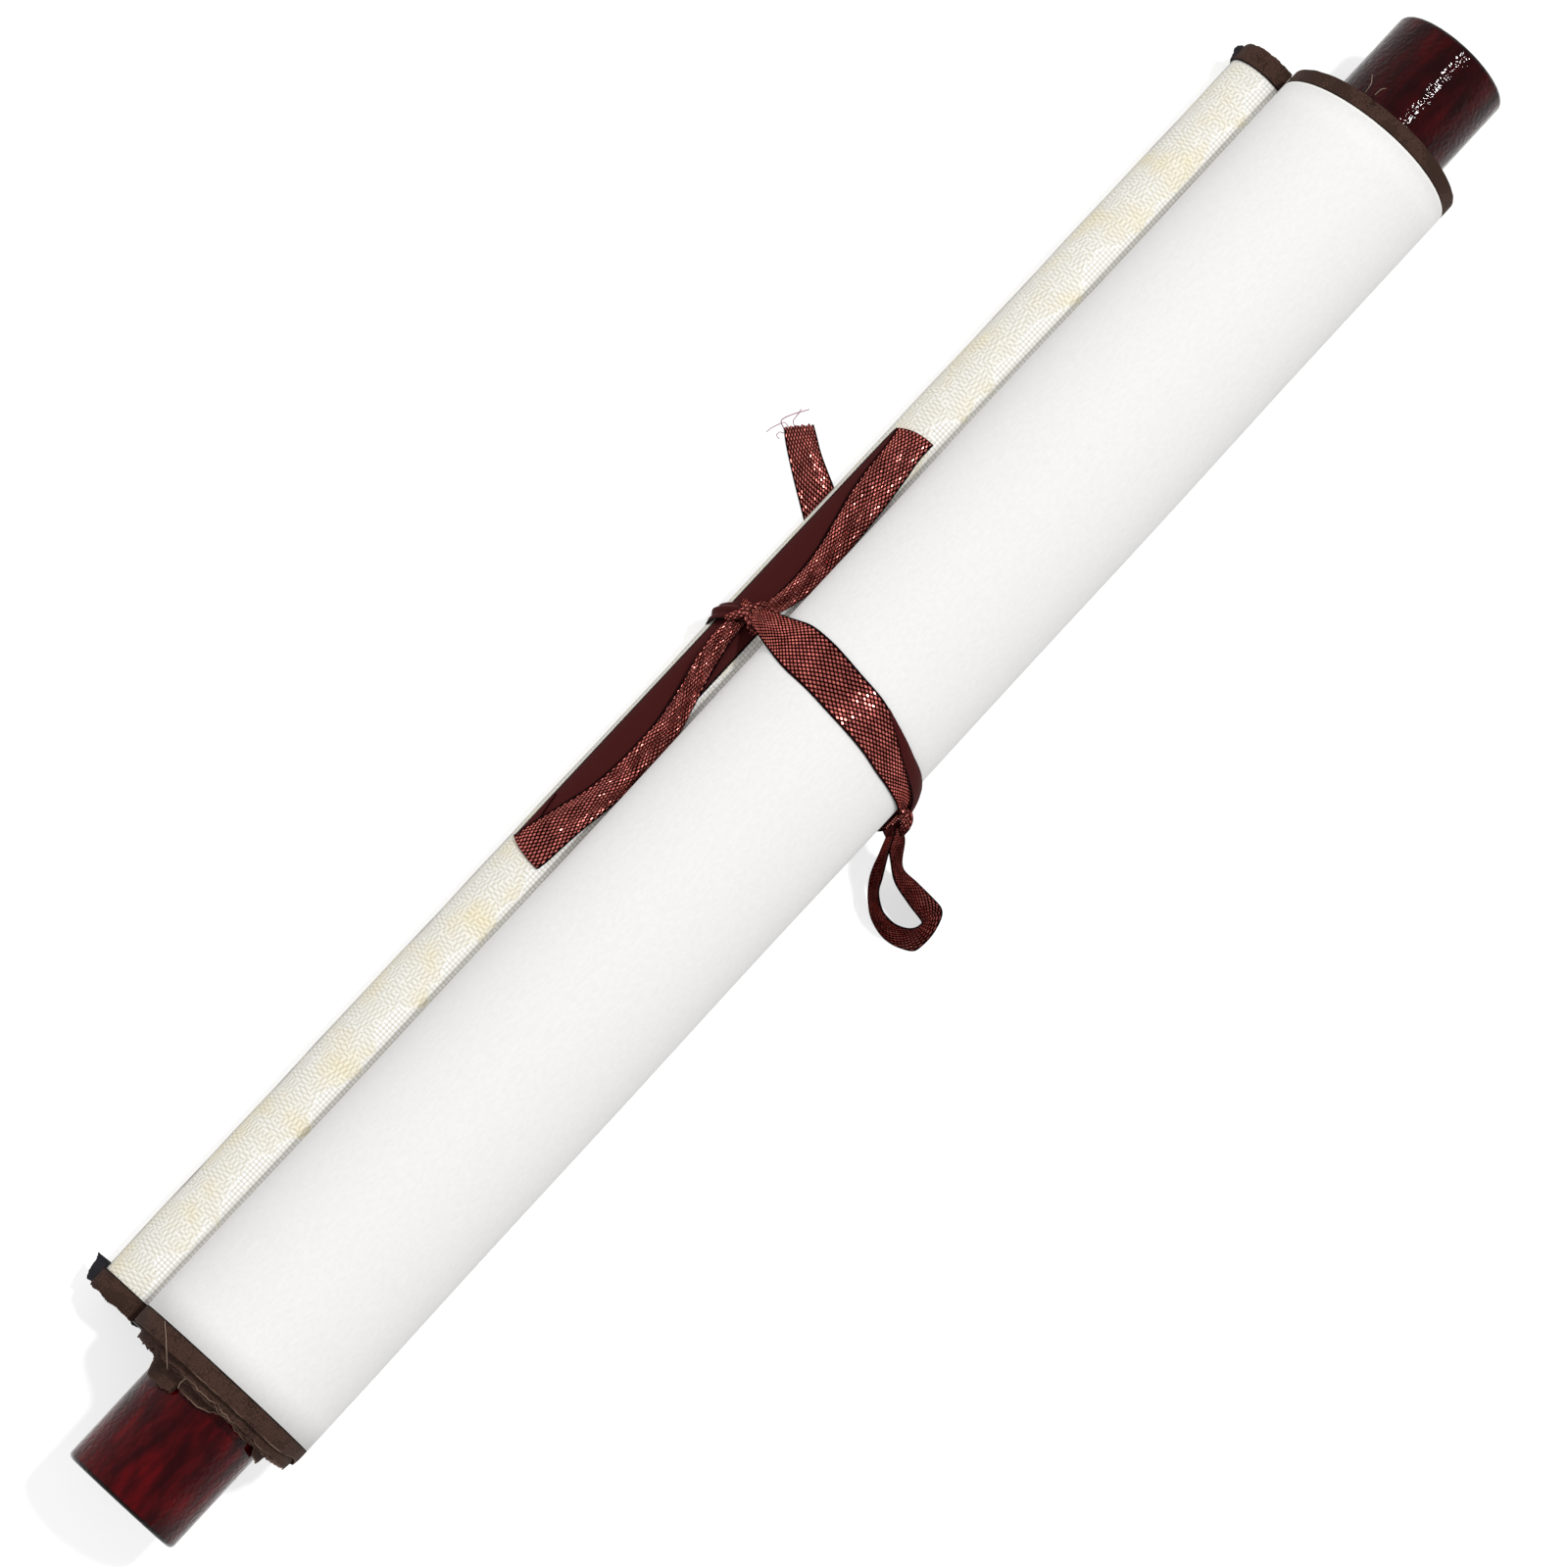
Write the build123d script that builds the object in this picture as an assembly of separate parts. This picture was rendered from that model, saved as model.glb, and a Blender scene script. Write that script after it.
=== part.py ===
from build123d import *
import math
import os

# Hanging scroll, rolled up and tied with a satin ribbon, lying on a table.
# +X runs along the roller to its far end, +Y towards the top stave, +Z up.
# While it is built, x = 0 is the middle of the sheet's outer turn, y = 0 is the
# roller's axis and z = 0 is the table. Everything is in millimetres.

# Sheet: backed paper, wound face inwards on the roller
sheet_width = 355.0
sheet_thickness = 0.62
turn_gap = 0.245
half_turns = 16
rod_radius = 13.0
glue_line = 0.05
loose_lift = 1.6
telescope = 2.1
rest_flat = 0.10

# Dark paper strip that binds each long edge of the sheet
binding_width = 3.9
# Tears in the near binding: angle round the roll, half width and depth
near_tears = [(38.0, 2.6, 1.1), (72.0, 3.4, 1.6), (101.0, 2.2, 0.9), (128.0, 3.0, 1.3), (160.0, 2.4, 1.0)]
tear_turns = 2
# Torn tongues of the same paper that lie out over the near knob, each as stations of
# (angle round the knob, reach beyond its shoulder)
near_tongues = [[(17.0, 1.9), (24.0, 3.4), (44.0, 4.6), (61.0, 4.2)], [(64.0, 1.9), (90.0, 2.3), (95.0, 1.3)]]
tongue_root = 2.0
tongue_half_turn = 2

# Knobs and the tenons that hold them
knob_radius = 14.0
knob_length = 26.6
knob_round = 1.2
knob_inner_round = 0.4
tenon_radius = 7.0
tenon_length = 15.0
bore_spare = 1.0
fit_gap = 0.05

# Top stave: a dowel in brocade, with dark paper round its ends
stave_radius = 6.9
stave_slack = 0.19
cap_paper = 0.30
cap_reach = 3.6
near_flap_out = 2.6
far_flap_out = 0.9
cap_flap_length = 5.4
cap_flap_drop = 2.0
seam_angle = 24.0
cap_seam_spare = 14.0

# Satin ribbon
ribbon_width = 10.0
ribbon_thickness = 0.30
clear = 0.05

# Hanging ribbon on the stave: its folds, and the run that is glued down
loop_near_x = -55.2
loop_far_x = 66.6
glued_from_angle = 36.0
fold_length = 1.0
# The free run: place along the stave, angles of its two edges, and lift
near_run = [(-54.4, 52.0, 102.0, 0.0), (-46.0, 57.0, 106.0, 0.1), (-34.0, 70.0, 114.0, 0.5),
            (-18.0, 78.0, 113.0, 0.6), (-5.0, 64.0, 103.0, 0.3), (7.0, 56.0, 88.0, 0.0)]
far_run = [(7.0, 56.0, 88.0, 0.0), (17.6, 66.0, 92.0, 0.0), (30.0, 72.0, 113.0, 0.4),
           (48.0, 66.0, 114.0, 0.4), (60.0, 58.0, 110.0, 0.1), (65.8, 50.0, 106.0, 0.0)]

# Knot of the tie ribbon round the hanging ribbon
knot_near_x = 7.6
knot_far_x = 17.0
knot_height = 1.9
knot_from_angle = 12.0
knot_foot_angle = 32.0
knot_to_angle = 111.0
knot_band_angle = 84.0
knot_round = 0.7

# Band over the roll: angle round the roll, place along it, and the share of the ribbon's
# width that shows there
band_line = [(20.0, 12.7, 0.82), (47.0, 12.2, 1.07), (84.0, 10.5, 1.04), (113.0, 9.4, 0.99),
             (136.0, 7.9, 0.86), (155.0, 7.0, 0.75), (176.0, 5.5, 0.62)]
# Where the far edge of the band is folded over on itself
lap_line = [(113.0, 13.9), (133.0, 10.5), (150.0, 8.4), (170.0, 7.6)]

# Slip knot on the other side of the roll
slip_near_x = 0.2
slip_far_x = 7.0
slip_depth = 3.9
slip_from_angle = 177.0
slip_to_angle = 202.0
slip_round = 1.0
slip_gap = 0.2
# How far the runs under the roll reach up inside the slip knot, in degrees
run_in_knot = 8.0

# Runs under the roll, as (share of the way from the roll's open side to the stave's outer
# side, place along the roller, share of the ribbon's width along the roller). The leg
# comes up round the stave, and the tail runs out beyond it to a slanting cut end.
leg_line = [(-0.2, 1.2, 1.0), (1.2, 11.3, 1.0)]
tail_line = [(-0.2, 0.8, 1.22), (0.98, 45.5, 0.97)]
tail_end_out = 13.0
tail_end_x = 54.8
tail_end_share = 0.60
tail_cut_skew = 3.9
under_shift = 0.8

# Slip loop: the ribbon on edge, from the slip knot round and back, as distance along the
# roller and out from the roll's side, and how high its lower edge hangs on the way out
loop_line = [(1.6, 3.1), (-5.2, 5.9), (-10.0, 9.7), (-13.2, 15.2), (-12.6, 20.7), (-8.6, 23.1),
             (-4.9, 21.3), (-4.4, 16.3), (-3.9, 10.7), (-0.6, 7.3), (3.9, 3.3)]
loop_drop = [(2.3, 12.4), (5.7, 7.2), (9.7, 2.4), (13.7, 0.0), (26.0, 0.0)]

# Values worked out from the sizes above
pitch = sheet_thickness + turn_gap
core_gap = rod_radius + glue_line
inner_last = core_gap + half_turns * pitch / 2
brocade_thickness = sheet_thickness
loose_centre = loose_lift / 2 + pitch / 4
loose_radius = inner_last + loose_centre
roll_radius = loose_radius + sheet_thickness
under_radius = inner_last - pitch / 4 + sheet_thickness
under_centre = -pitch / 4
lift = ribbon_thickness + clear
rod_z = lift - rest_flat + under_radius
brocade_radius = stave_radius + glue_line + brocade_thickness
stave_z = lift + brocade_radius
middle_sum = loose_radius + sheet_thickness / 2 + stave_radius + glue_line + brocade_thickness / 2
stave_offset = loose_centre + math.sqrt((middle_sum + stave_slack) ** 2 - (stave_z - rod_z) ** 2)
half_width = sheet_width / 2
ribbon_in = brocade_radius + clear
ribbon_out = ribbon_in + ribbon_thickness
reach = 2 * (stave_offset + roll_radius)


def at(centre, radius, angle):
    """Point in the cross-section (y, z) on a circle, at an angle from +Y towards +Z."""
    a = math.radians(angle)
    return (centre[0] + radius * math.cos(a), centre[1] + radius * math.sin(a))


def along_x(section, x0, x1):
    """A cross-section drawn as (y, z), pulled along the roller from x0 to x1."""
    return extrude(Plane.YZ.offset(x0) * section, x1 - x0)


def ring_part(centre, r_in, r_out, a0, a1):
    """Flat sector of a ring in the cross-section, from angle a0 to a1."""
    inner = CenterArc(centre, r_in, a0, a1 - a0)
    outer = CenterArc(centre, r_out, a0, a1 - a0)
    return make_face([inner, outer, Line(inner @ 0, outer @ 0), Line(inner @ 1, outer @ 1)])


def plan_prism(outline):
    """Everything above and below an outline given as (x, y)."""
    return extrude(make_face(Polyline(*outline, close=True)), 2 * reach, both=True)


# Cross-section of the wound sheet
loose_axis = (loose_centre, rod_z)
stave_axis = (stave_offset, stave_z)
run_angle = math.degrees(math.atan2(stave_z - rod_z, stave_offset - loose_centre))
leave_angle = run_angle + math.degrees(math.acos(middle_sum / (middle_sum + stave_slack)))


def sheet_face_line(outward):
    """One face of the wound sheet as edges: half circles whose centres alternate, so the
    radius grows by half a pitch each time, then the loose turn and the run to the stave."""
    edges = []
    for k in range(half_turns):
        radius = core_gap + (k + 0.5) * pitch / 2
        side = 1 if k % 2 == 0 else -1
        centre = (side * pitch / 4, rod_z)
        edges.append(CenterArc(centre, radius + outward, 180 if side > 0 else 0, -180))
    edges.append(CenterArc(loose_axis, loose_radius + outward, 180, leave_angle - 180))
    on_stave = stave_radius + glue_line + brocade_thickness - outward
    edges.append(Line(edges[-1] @ 1, at(stave_axis, on_stave, leave_angle + 180)))
    return edges


def sheet_section():
    inner = sheet_face_line(0.0)
    outer = sheet_face_line(sheet_thickness)
    ends = [Line(inner[0] @ 0, outer[0] @ 0), Line(inner[-1] @ 1, outer[-1] @ 1)]
    return make_face(inner + outer + ends)


def between(x0, x1):
    """The space between two ends of the roll. Inner turns stand out at the near end and
    lie back at the far end, so each end is a shallow cone from the turns that butt
    against the knob to the outer turn."""
    r0 = knob_radius + pitch
    r1 = inner_last
    outline = [(x0 - telescope, 0), (x0 - telescope, r0), (x0, r1), (x0, reach),
               (x1, reach), (x1, r1), (x1 - telescope, r0), (x1 - telescope, 0)]
    face = make_face(Polyline(*outline, close=True))
    return Pos(0, 0, rod_z) * revolve(face, Axis.X, 360)


def resting(solid):
    """The same solid with the small flat spot that the roll lies on."""
    below = Pos(0, 0, lift - reach / 2) * Box(2 * sheet_width, 2 * reach, reach)
    return solid - below


section = sheet_section()
wound = along_x(section, -sheet_width, sheet_width)
white_near = -half_width + binding_width
white_far = half_width - binding_width
scroll_sheet = resting(wound & between(white_near, white_far))
far_edge_binding = resting(wound & between(white_far, half_width))
near_edge_binding = resting(wound & between(-half_width, white_near))

# Tears: wedges cut out of the outer turns of the near binding
for angle, half, depth in near_tears:
    wedge = make_face(Polyline((-half_width - depth, -2 * half), (-half_width + depth, 0),
                               (-half_width - depth, 2 * half), close=True))
    block = extrude(wedge, tear_turns * pitch + loose_lift + sheet_thickness)
    block = Pos(0, 0, inner_last - tear_turns * pitch) * block
    near_edge_binding -= Pos(0, 0, rod_z) * (Rot(angle - 90, 0, 0) * block)

# Tongues: the turn just outside the knob runs on in tapering strips
tongue_side = 1 if tongue_half_turn % 2 == 0 else -1
tongue_radius = core_gap + (tongue_half_turn + 0.5) * pitch / 2
tongue_axis = (tongue_side * pitch / 4, rod_z)
tongue_ring = ring_part(tongue_axis, tongue_radius, tongue_radius + sheet_thickness, 0, 180)
tongue_shell = along_x(tongue_ring, -sheet_width, white_near)
shoulder = -half_width - telescope
for stations in near_tongues:
    edge = [(shoulder - out, at(tongue_axis, tongue_radius, angle)[0]) for angle, out in stations]
    outline = [(shoulder + tongue_root, edge[0][1])] + edge + [(shoulder + tongue_root, edge[-1][1])]
    near_edge_binding += tongue_shell & plan_prism(outline)

# Roller and knobs
rod_near = -half_width - telescope
rod_far = half_width - telescope
rod = Pos((rod_near + rod_far) / 2, 0, rod_z) * (Rot(0, 90, 0) * Cylinder(rod_radius, rod_far - rod_near))
tenon_span = rod_far - rod_near + 2 * tenon_length
tenon = Pos((rod_near + rod_far) / 2, 0, rod_z) * (Rot(0, 90, 0) * Cylinder(tenon_radius, tenon_span))
roller_rod = rod + tenon


def knob():
    """Turned knob with its open bore at x = 0 and its end at x = knob_length."""
    body = Rot(0, 90, 0) * Cylinder(knob_radius, knob_length, align=(Align.CENTER, Align.CENTER, Align.MIN))
    body = fillet(body.edges().sort_by(Axis.X)[-1], knob_round)
    body = fillet(body.edges().sort_by(Axis.X)[0], knob_inner_round)
    bore = Rot(0, 90, 0) * Cylinder(tenon_radius + fit_gap, tenon_length + bore_spare,
                                    align=(Align.CENTER, Align.CENTER, Align.MIN))
    return body - bore


far_knob = Pos(rod_far + fit_gap, 0, rod_z) * knob()
near_knob = Pos(rod_near - fit_gap, 0, rod_z) * (Rot(0, 0, 180) * knob())

# Top stave and its brocade, which is the sheet's own end wrapped round the dowel
top_stave = along_x(Pos(*stave_axis) * Circle(stave_radius), -half_width, half_width)
wrap_from = leave_angle + 180
wrap = ring_part(stave_axis, stave_radius + glue_line, brocade_radius, wrap_from, wrap_from + 360 - seam_angle)
stave_brocade = along_x(wrap, -half_width, half_width)


def stave_cap(flap_out):
    """Dark paper round the far end of the stave: a strip round the brocade, open where the
    sheet comes in, a disc over the end, and a torn flap on the outer side."""
    r_in = brocade_radius + clear
    r_out = r_in + cap_paper
    end = half_width + glue_line + cap_paper
    spare = seam_angle + cap_seam_spare
    strip = ring_part(stave_axis, r_in, r_out, wrap_from + cap_seam_spare, wrap_from + 360 - spare)
    body = along_x(strip, half_width - cap_reach, end)
    body += along_x(Pos(*stave_axis) * Circle(r_out), half_width + glue_line, end)
    root = stave_offset + r_in
    flap = make_face(Polyline((end, stave_offset), (end, root + cap_paper),
                              (end - cap_flap_length, root + cap_paper + flap_out),
                              (end - cap_flap_length, stave_offset), close=True))
    flap = Pos(0, 0, stave_z - cap_flap_drop) * extrude(flap, cap_paper)
    return body + (flap - along_x(Pos(*stave_axis) * Circle(r_in), 0, sheet_width))


far_stave_cap = stave_cap(far_flap_out)
near_stave_cap = mirror(stave_cap(near_flap_out), Plane.YZ)

# Hanging ribbon: one flat loop along the stave
free_in = ribbon_out + clear
glued_to_angle = glued_from_angle + math.degrees(ribbon_width / ribbon_out)
glued = along_x(ring_part(stave_axis, ribbon_in, ribbon_out, glued_from_angle, glued_to_angle),
                loop_near_x, loop_far_x)


def free_run(stations):
    """The ribbon's free run, a ruled skin through ring sectors along the stave."""
    sections = []
    for x, a0, a1, up in stations:
        ring = ring_part(stave_axis, free_in + up, free_in + up + ribbon_thickness, a0, a1)
        sections.append(Plane.YZ.offset(x) * ring)
    return loft(sections, ruled=True)


def fold_block(x0, station):
    """The fold at one end of the loop, where the ribbon turns back on itself."""
    ring = ring_part(stave_axis, ribbon_in, free_in + ribbon_thickness, station[1], station[2])
    return along_x(ring, x0, x0 + fold_length)


hanging_ribbon = glued + free_run(near_run) + free_run(far_run)
hanging_ribbon += fold_block(loop_near_x, near_run[0])
hanging_ribbon += fold_block(loop_far_x - fold_length, far_run[-1])

# Tie ribbon: knot, band over the roll, slip knot, two runs under the roll and the slip loop
knot_in = free_in + ribbon_thickness + clear
knot_out = knot_in + knot_height
knot = ring_part(stave_axis, knot_in, knot_out, knot_from_angle, knot_to_angle)
knot += ring_part(stave_axis, ribbon_in, knot_out, knot_from_angle, knot_foot_angle)
knot = along_x(knot, knot_near_x, knot_far_x)
knot = fillet(knot.faces().sort_by(Axis.Z)[-1].edges(), knot_round)

over_in = roll_radius + clear
over_out = over_in + ribbon_thickness
knot_top = at(stave_axis, knot_out - ribbon_thickness, knot_band_angle)
to_knot = (knot_top[0] - loose_axis[0], knot_top[1] - loose_axis[1])
touch_angle = math.degrees(math.atan2(to_knot[1], to_knot[0]) + math.acos(over_in / math.hypot(*to_knot)))


def over_section(extra, a0, a1):
    """Section of the ribbon on the roll's top, raised by extra."""
    return ring_part(loose_axis, over_in + extra, over_out + extra, a0, a1)


def strap(section, line):
    """A run of the ribbon: its cross-section, cut in plan to a line of (y, x, share)
    stations, where share times the ribbon's width is the run's width along the roller."""
    near = [(x - share * ribbon_width / 2, y) for y, x, share in line]
    far = [(x + share * ribbon_width / 2, y) for y, x, share in line]
    return along_x(section, -reach, reach) & plan_prism(near + far[::-1])


def way(share):
    """Distance from the roller's axis at a share of the way from the roll's open side to
    the stave's outer side."""
    return -under_radius + share * (under_radius + stave_offset + brocade_radius)


def roll_y(angle):
    """Distance from the roller's axis of a point on top of the roll."""
    return at(loose_axis, over_in, angle)[0]


touch_in = at(loose_axis, over_in, touch_angle)
touch_out = at(loose_axis, over_out, touch_angle)
drop = (knot_top[0] - touch_in[0], knot_top[1] - touch_in[1])
straight = make_face(Polyline(touch_in, touch_out, (touch_out[0] + drop[0], touch_out[1] + drop[1]),
                              knot_top, close=True))
slip_middle_angle = (slip_from_angle + slip_to_angle) / 2
band_stations = [(roll_y(angle), x, share) for angle, x, share in band_line]
knot_station = (knot_top[0] + ribbon_thickness, (knot_near_x + knot_far_x) / 2, band_line[0][2])
slip_station = (-reach,) + band_line[-1][1:]
band = strap(over_section(0.0, touch_angle, slip_middle_angle) + straight,
             [knot_station] + band_stations + [slip_station])

lap_far = [(x + share * ribbon_width / 2, roll_y(angle)) for angle, x, share in band_line if angle >= lap_line[0][0]]
lap_plan = [(x, roll_y(angle)) for angle, x in lap_line] + lap_far[::-1]
lap_section = over_section(ribbon_thickness, lap_line[0][0], lap_line[-1][0])
band += along_x(lap_section, -reach, reach) & plan_prism(lap_plan)

slip_in = under_radius + slip_gap
slip_ring = ring_part((under_centre, rod_z), slip_in, slip_in + slip_depth, slip_from_angle, slip_to_angle)
slip_knot = along_x(slip_ring, slip_near_x, slip_far_x)
slip_knot = fillet(slip_knot.faces().sort_by(Axis.Y)[0].edges(), slip_round)

under_in = under_radius + clear
under_out = under_in + ribbon_thickness
under_axis = (under_centre - under_shift, under_out)
rise = ring_part(under_axis, under_in, under_out, slip_middle_angle - run_in_knot, 270)


def floor_strip(y1):
    """Section of the ribbon lying on the table from under the roll out to y1."""
    return make_face(Polyline((under_axis[0], 0), (y1, 0), (y1, ribbon_thickness),
                              (under_axis[0], ribbon_thickness), close=True))


leg_section = rise + floor_strip(stave_offset)
leg_section += ring_part(stave_axis, ribbon_in, ribbon_out, -90, (knot_from_angle + knot_foot_angle) / 2)
leg = strap(leg_section, [(way(t), x, share) for t, x, share in leg_line])
tail_end_y = way(1) + tail_end_out
tail_half = tail_end_share * ribbon_width / 2
tail = strap(rise + floor_strip(reach),
             [(way(t), x, share) for t, x, share in tail_line] + [(tail_end_y, tail_end_x, tail_end_share)])
tail -= plan_prism([(tail_end_x - tail_half, tail_end_y), (tail_end_x + tail_half, tail_end_y - tail_cut_skew),
                    (tail_end_x + 2 * tail_half, tail_end_y - tail_cut_skew),
                    (tail_end_x + 2 * tail_half, tail_end_y + tail_cut_skew),
                    (tail_end_x - tail_half, tail_end_y + tail_cut_skew)])

side = -under_radius
loop_wall = extrude(trace(Spline(*[(x, side - out) for x, out in loop_line]), ribbon_thickness), reach)
lower = [(side - out, z) for out, z in loop_drop]
upper = [(y, z + ribbon_width) for y, z in lower]
slip_loop = loop_wall & along_x(make_face(Polyline(*(lower + upper[::-1]), close=True)), -reach, reach)

tie_ribbon = knot + band + slip_knot + leg + tail + slip_loop

# The finished pieces, moved so that the origin is under the middle of the whole
pieces = {
    "roller_rod": roller_rod,
    "near_knob": near_knob,
    "far_knob": far_knob,
    "scroll_sheet": scroll_sheet,
    "near_edge_binding": near_edge_binding,
    "far_edge_binding": far_edge_binding,
    "top_stave": top_stave,
    "stave_brocade": stave_brocade,
    "near_stave_cap": near_stave_cap,
    "far_stave_cap": far_stave_cap,
    "hanging_ribbon": hanging_ribbon,
    "tie_ribbon": tie_ribbon,
}

os.makedirs("parts", exist_ok=True)
box = Compound(children=[Compound(p.solids()) for p in pieces.values()]).bounding_box()
to_origin = Pos(-(box.min.X + box.max.X) / 2, -(box.min.Y + box.max.Y) / 2, -box.min.Z)
for name, piece in pieces.items():
    export_step(to_origin * piece, "parts/" + name + ".step")
print("origin moved by", tuple(round(v, 3) for v in to_origin.position))
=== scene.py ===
# %% [markdown]
# # A rolled hanging scroll, tied with satin ribbon
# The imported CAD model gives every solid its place. This script loads it as a fixed
# frame, keeps the turned knobs and the two wooden rods, and builds the soft pieces
# again as thin surfaces: paper, brocade and ribbon.

import bpy
import numpy as np
from mathutils import Matrix, Vector


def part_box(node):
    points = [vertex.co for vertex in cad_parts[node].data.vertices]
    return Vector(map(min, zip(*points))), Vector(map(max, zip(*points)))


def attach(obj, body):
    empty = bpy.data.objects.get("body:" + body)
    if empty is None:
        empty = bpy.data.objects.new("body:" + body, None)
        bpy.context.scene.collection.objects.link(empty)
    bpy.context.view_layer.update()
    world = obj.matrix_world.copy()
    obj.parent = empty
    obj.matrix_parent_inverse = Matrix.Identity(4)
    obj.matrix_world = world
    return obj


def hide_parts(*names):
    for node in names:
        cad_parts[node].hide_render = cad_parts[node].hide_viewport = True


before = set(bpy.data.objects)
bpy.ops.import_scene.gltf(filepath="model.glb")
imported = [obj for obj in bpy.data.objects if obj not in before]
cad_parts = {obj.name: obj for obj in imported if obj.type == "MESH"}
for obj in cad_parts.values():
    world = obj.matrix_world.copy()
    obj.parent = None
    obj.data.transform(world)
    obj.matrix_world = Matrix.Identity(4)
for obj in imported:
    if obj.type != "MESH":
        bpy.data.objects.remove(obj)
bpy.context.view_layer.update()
print("CAD nodes:", ", ".join(sorted(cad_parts)))

# %% [markdown]
# Measuring in millimetres from the roller is easier than in metres from the middle of
# the whole. So each shape below is worked out in the scroll's own coordinates: x along
# the roller from the middle of the sheet, y from the roller's axis towards the stave,
# z up from the table. One function moves the result into the frame.

# %% Places read from the CAD boxes
MM = 0.001


def box_mm(node):
    """Low and high corner of a node's box, in millimetres of the frame."""
    low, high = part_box(node)
    return np.array(low) / MM, np.array(high) / MM


knob_low, knob_high = box_mm("far_knob")
stave_low, stave_high = box_mm("top_stave")
sheet_high = box_mm("scroll_sheet")[1]
wrap_low, wrap_high = box_mm("stave_brocade")
HALF_WIDTH = (stave_high[0] - stave_low[0]) / 2
KNOB_RADIUS = (knob_high[2] - knob_low[2]) / 2
ROLLER_Z = (knob_high[2] + knob_low[2]) / 2
START = np.array([(stave_high[0] + stave_low[0]) / 2, (knob_high[1] + knob_low[1]) / 2, 0.0])
STAVE_Y, STAVE_Z = (stave_high + stave_low)[1:] / 2 - START[1:]
BROCADE_RADIUS = (wrap_high[2] - wrap_low[2]) / 2
ROLL_TOP = sheet_high[2] - ROLLER_Z
print("roll radius", round(ROLL_TOP, 2), "stave at", round(STAVE_Y, 2), round(STAVE_Z, 2))

# %% [markdown]
# ## Camera
# The photograph was taken from about 1.2 m above, leaning 9 degrees towards the near
# end, with a long lens. The camera is turned so that the roller runs up to the right.

# %% Camera
CAMERA_HEIGHT = 1192.0
CAMERA_X, TARGET_X, TARGET_Z = -193.2, -8.2, 21.5
LENS = 132.6
# the picture's right is this share along the roller and this share across it
ALONG_SHARE, ACROSS_SHARE = 0.679, 0.734
lean = np.arctan2(TARGET_X - CAMERA_X, CAMERA_HEIGHT - TARGET_Z)
along = np.array([np.cos(lean), 0, np.sin(lean)])
across = np.array([0, 1.0, 0])
right = ALONG_SHARE * along - ACROSS_SHARE * across
up = ACROSS_SHARE * along + ALONG_SHARE * across
back = np.array([-np.sin(lean), 0, np.cos(lean)])

camera = bpy.data.objects.new("camera", bpy.data.cameras.new("camera"))
bpy.context.scene.collection.objects.link(camera)
turn = Matrix([right / np.linalg.norm(right), up / np.linalg.norm(up), back]).transposed().to_4x4()
eye = (np.array([CAMERA_X, 0, CAMERA_HEIGHT]) + START) * MM
camera.matrix_world = Matrix.Translation(Vector(eye)) @ turn
camera.data.lens = LENS
camera.data.sensor_width = 36.0
camera.data.clip_start, camera.data.clip_end = 0.05, 20.0
bpy.context.scene.camera = camera
print("camera at", [round(float(v), 3) for v in eye])

# %% [markdown]
# ## Helpers
# One function turns a written colour into the linear values that shaders use, and one
# adds a node with its settings and links. A third starts a material and hands over the
# coordinates that its patterns read, in millimetres.

# %% Colour, node and material helpers


def linear(code):
    """sRGB hex to linear RGBA: low values are divided by 12.92, the rest follow the
    2.4 power curve."""
    c = np.array([int(code[i:i + 2], 16) for i in (1, 3, 5)]) / 255
    lin = np.where(c <= 0.04045, c / 12.92, ((c + 0.055) / 1.055) ** 2.4)
    return (*(float(v) for v in lin), 1.0)


def add(tree, kind, inputs=None, out=0, stops=(), **settings):
    """Adds a node, sets its properties, gives each input a value or a link, fills its
    colour stops from (position, hex) pairs, and returns the output asked for."""
    node = tree.nodes.new("ShaderNode" + kind)
    for key, value in settings.items():
        setattr(node, key, value)
    for key, value in (inputs or {}).items():
        if isinstance(value, bpy.types.NodeSocket):
            tree.links.new(value, node.inputs[key])
        else:
            node.inputs[key].default_value = value
    for i, (position, code) in enumerate(stops):
        element = node.color_ramp.elements[i] if i < 2 else node.color_ramp.elements.new(position)
        element.position = position
        element.color = linear(code)
    return node.outputs[out] if len(node.outputs) else node


def new_material(name, follows_sheet=False):
    """An empty material and its coordinates in millimetres: the object's own, or the
    sheet's map where the pattern follows a sheet."""
    material = bpy.data.materials.new(name)
    material.use_nodes = True
    tree = material.node_tree
    tree.nodes.clear()
    if follows_sheet:
        return material, tree, add(tree, "UVMap", uv_map="millimetres")
    place = add(tree, "TexCoord", out="Object")
    return material, tree, add(tree, "VectorMath", {0: place, "Scale": 1 / MM}, operation="SCALE")


# %% [markdown]
# ## Studio
# A pale floor and soft light from all round, with one lamp above the far end that
# makes the glints on lacquer and satin. The surround is bright low down and darker
# overhead, as in a photo tent with an opening for the camera.

# %% Floor
floor_size = 4.0
floor_mesh = bpy.data.meshes.new("floor")
corner = floor_size / 2
square = [(-corner, -corner, 0), (corner, -corner, 0), (corner, corner, 0), (-corner, corner, 0)]
floor_mesh.from_pydata(square, [], [(0, 1, 2, 3)])
floor = bpy.data.objects.new("floor", floor_mesh)
bpy.context.scene.collection.objects.link(floor)


def seen_directly(tree):
    """1 for rays from the camera, from a mirror or through glass, else 0."""
    camera_ray, glossy_ray, clear_ray = (add(tree, "LightPath", out=f"Is {kind} Ray")
                                         for kind in ("Camera", "Glossy", "Transmission"))
    either = add(tree, "Math", {0: camera_ray, 1: glossy_ray}, operation="ADD")
    return add(tree, "Math", {0: either, 1: clear_ray}, operation="ADD", use_clamp=True)


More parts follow.
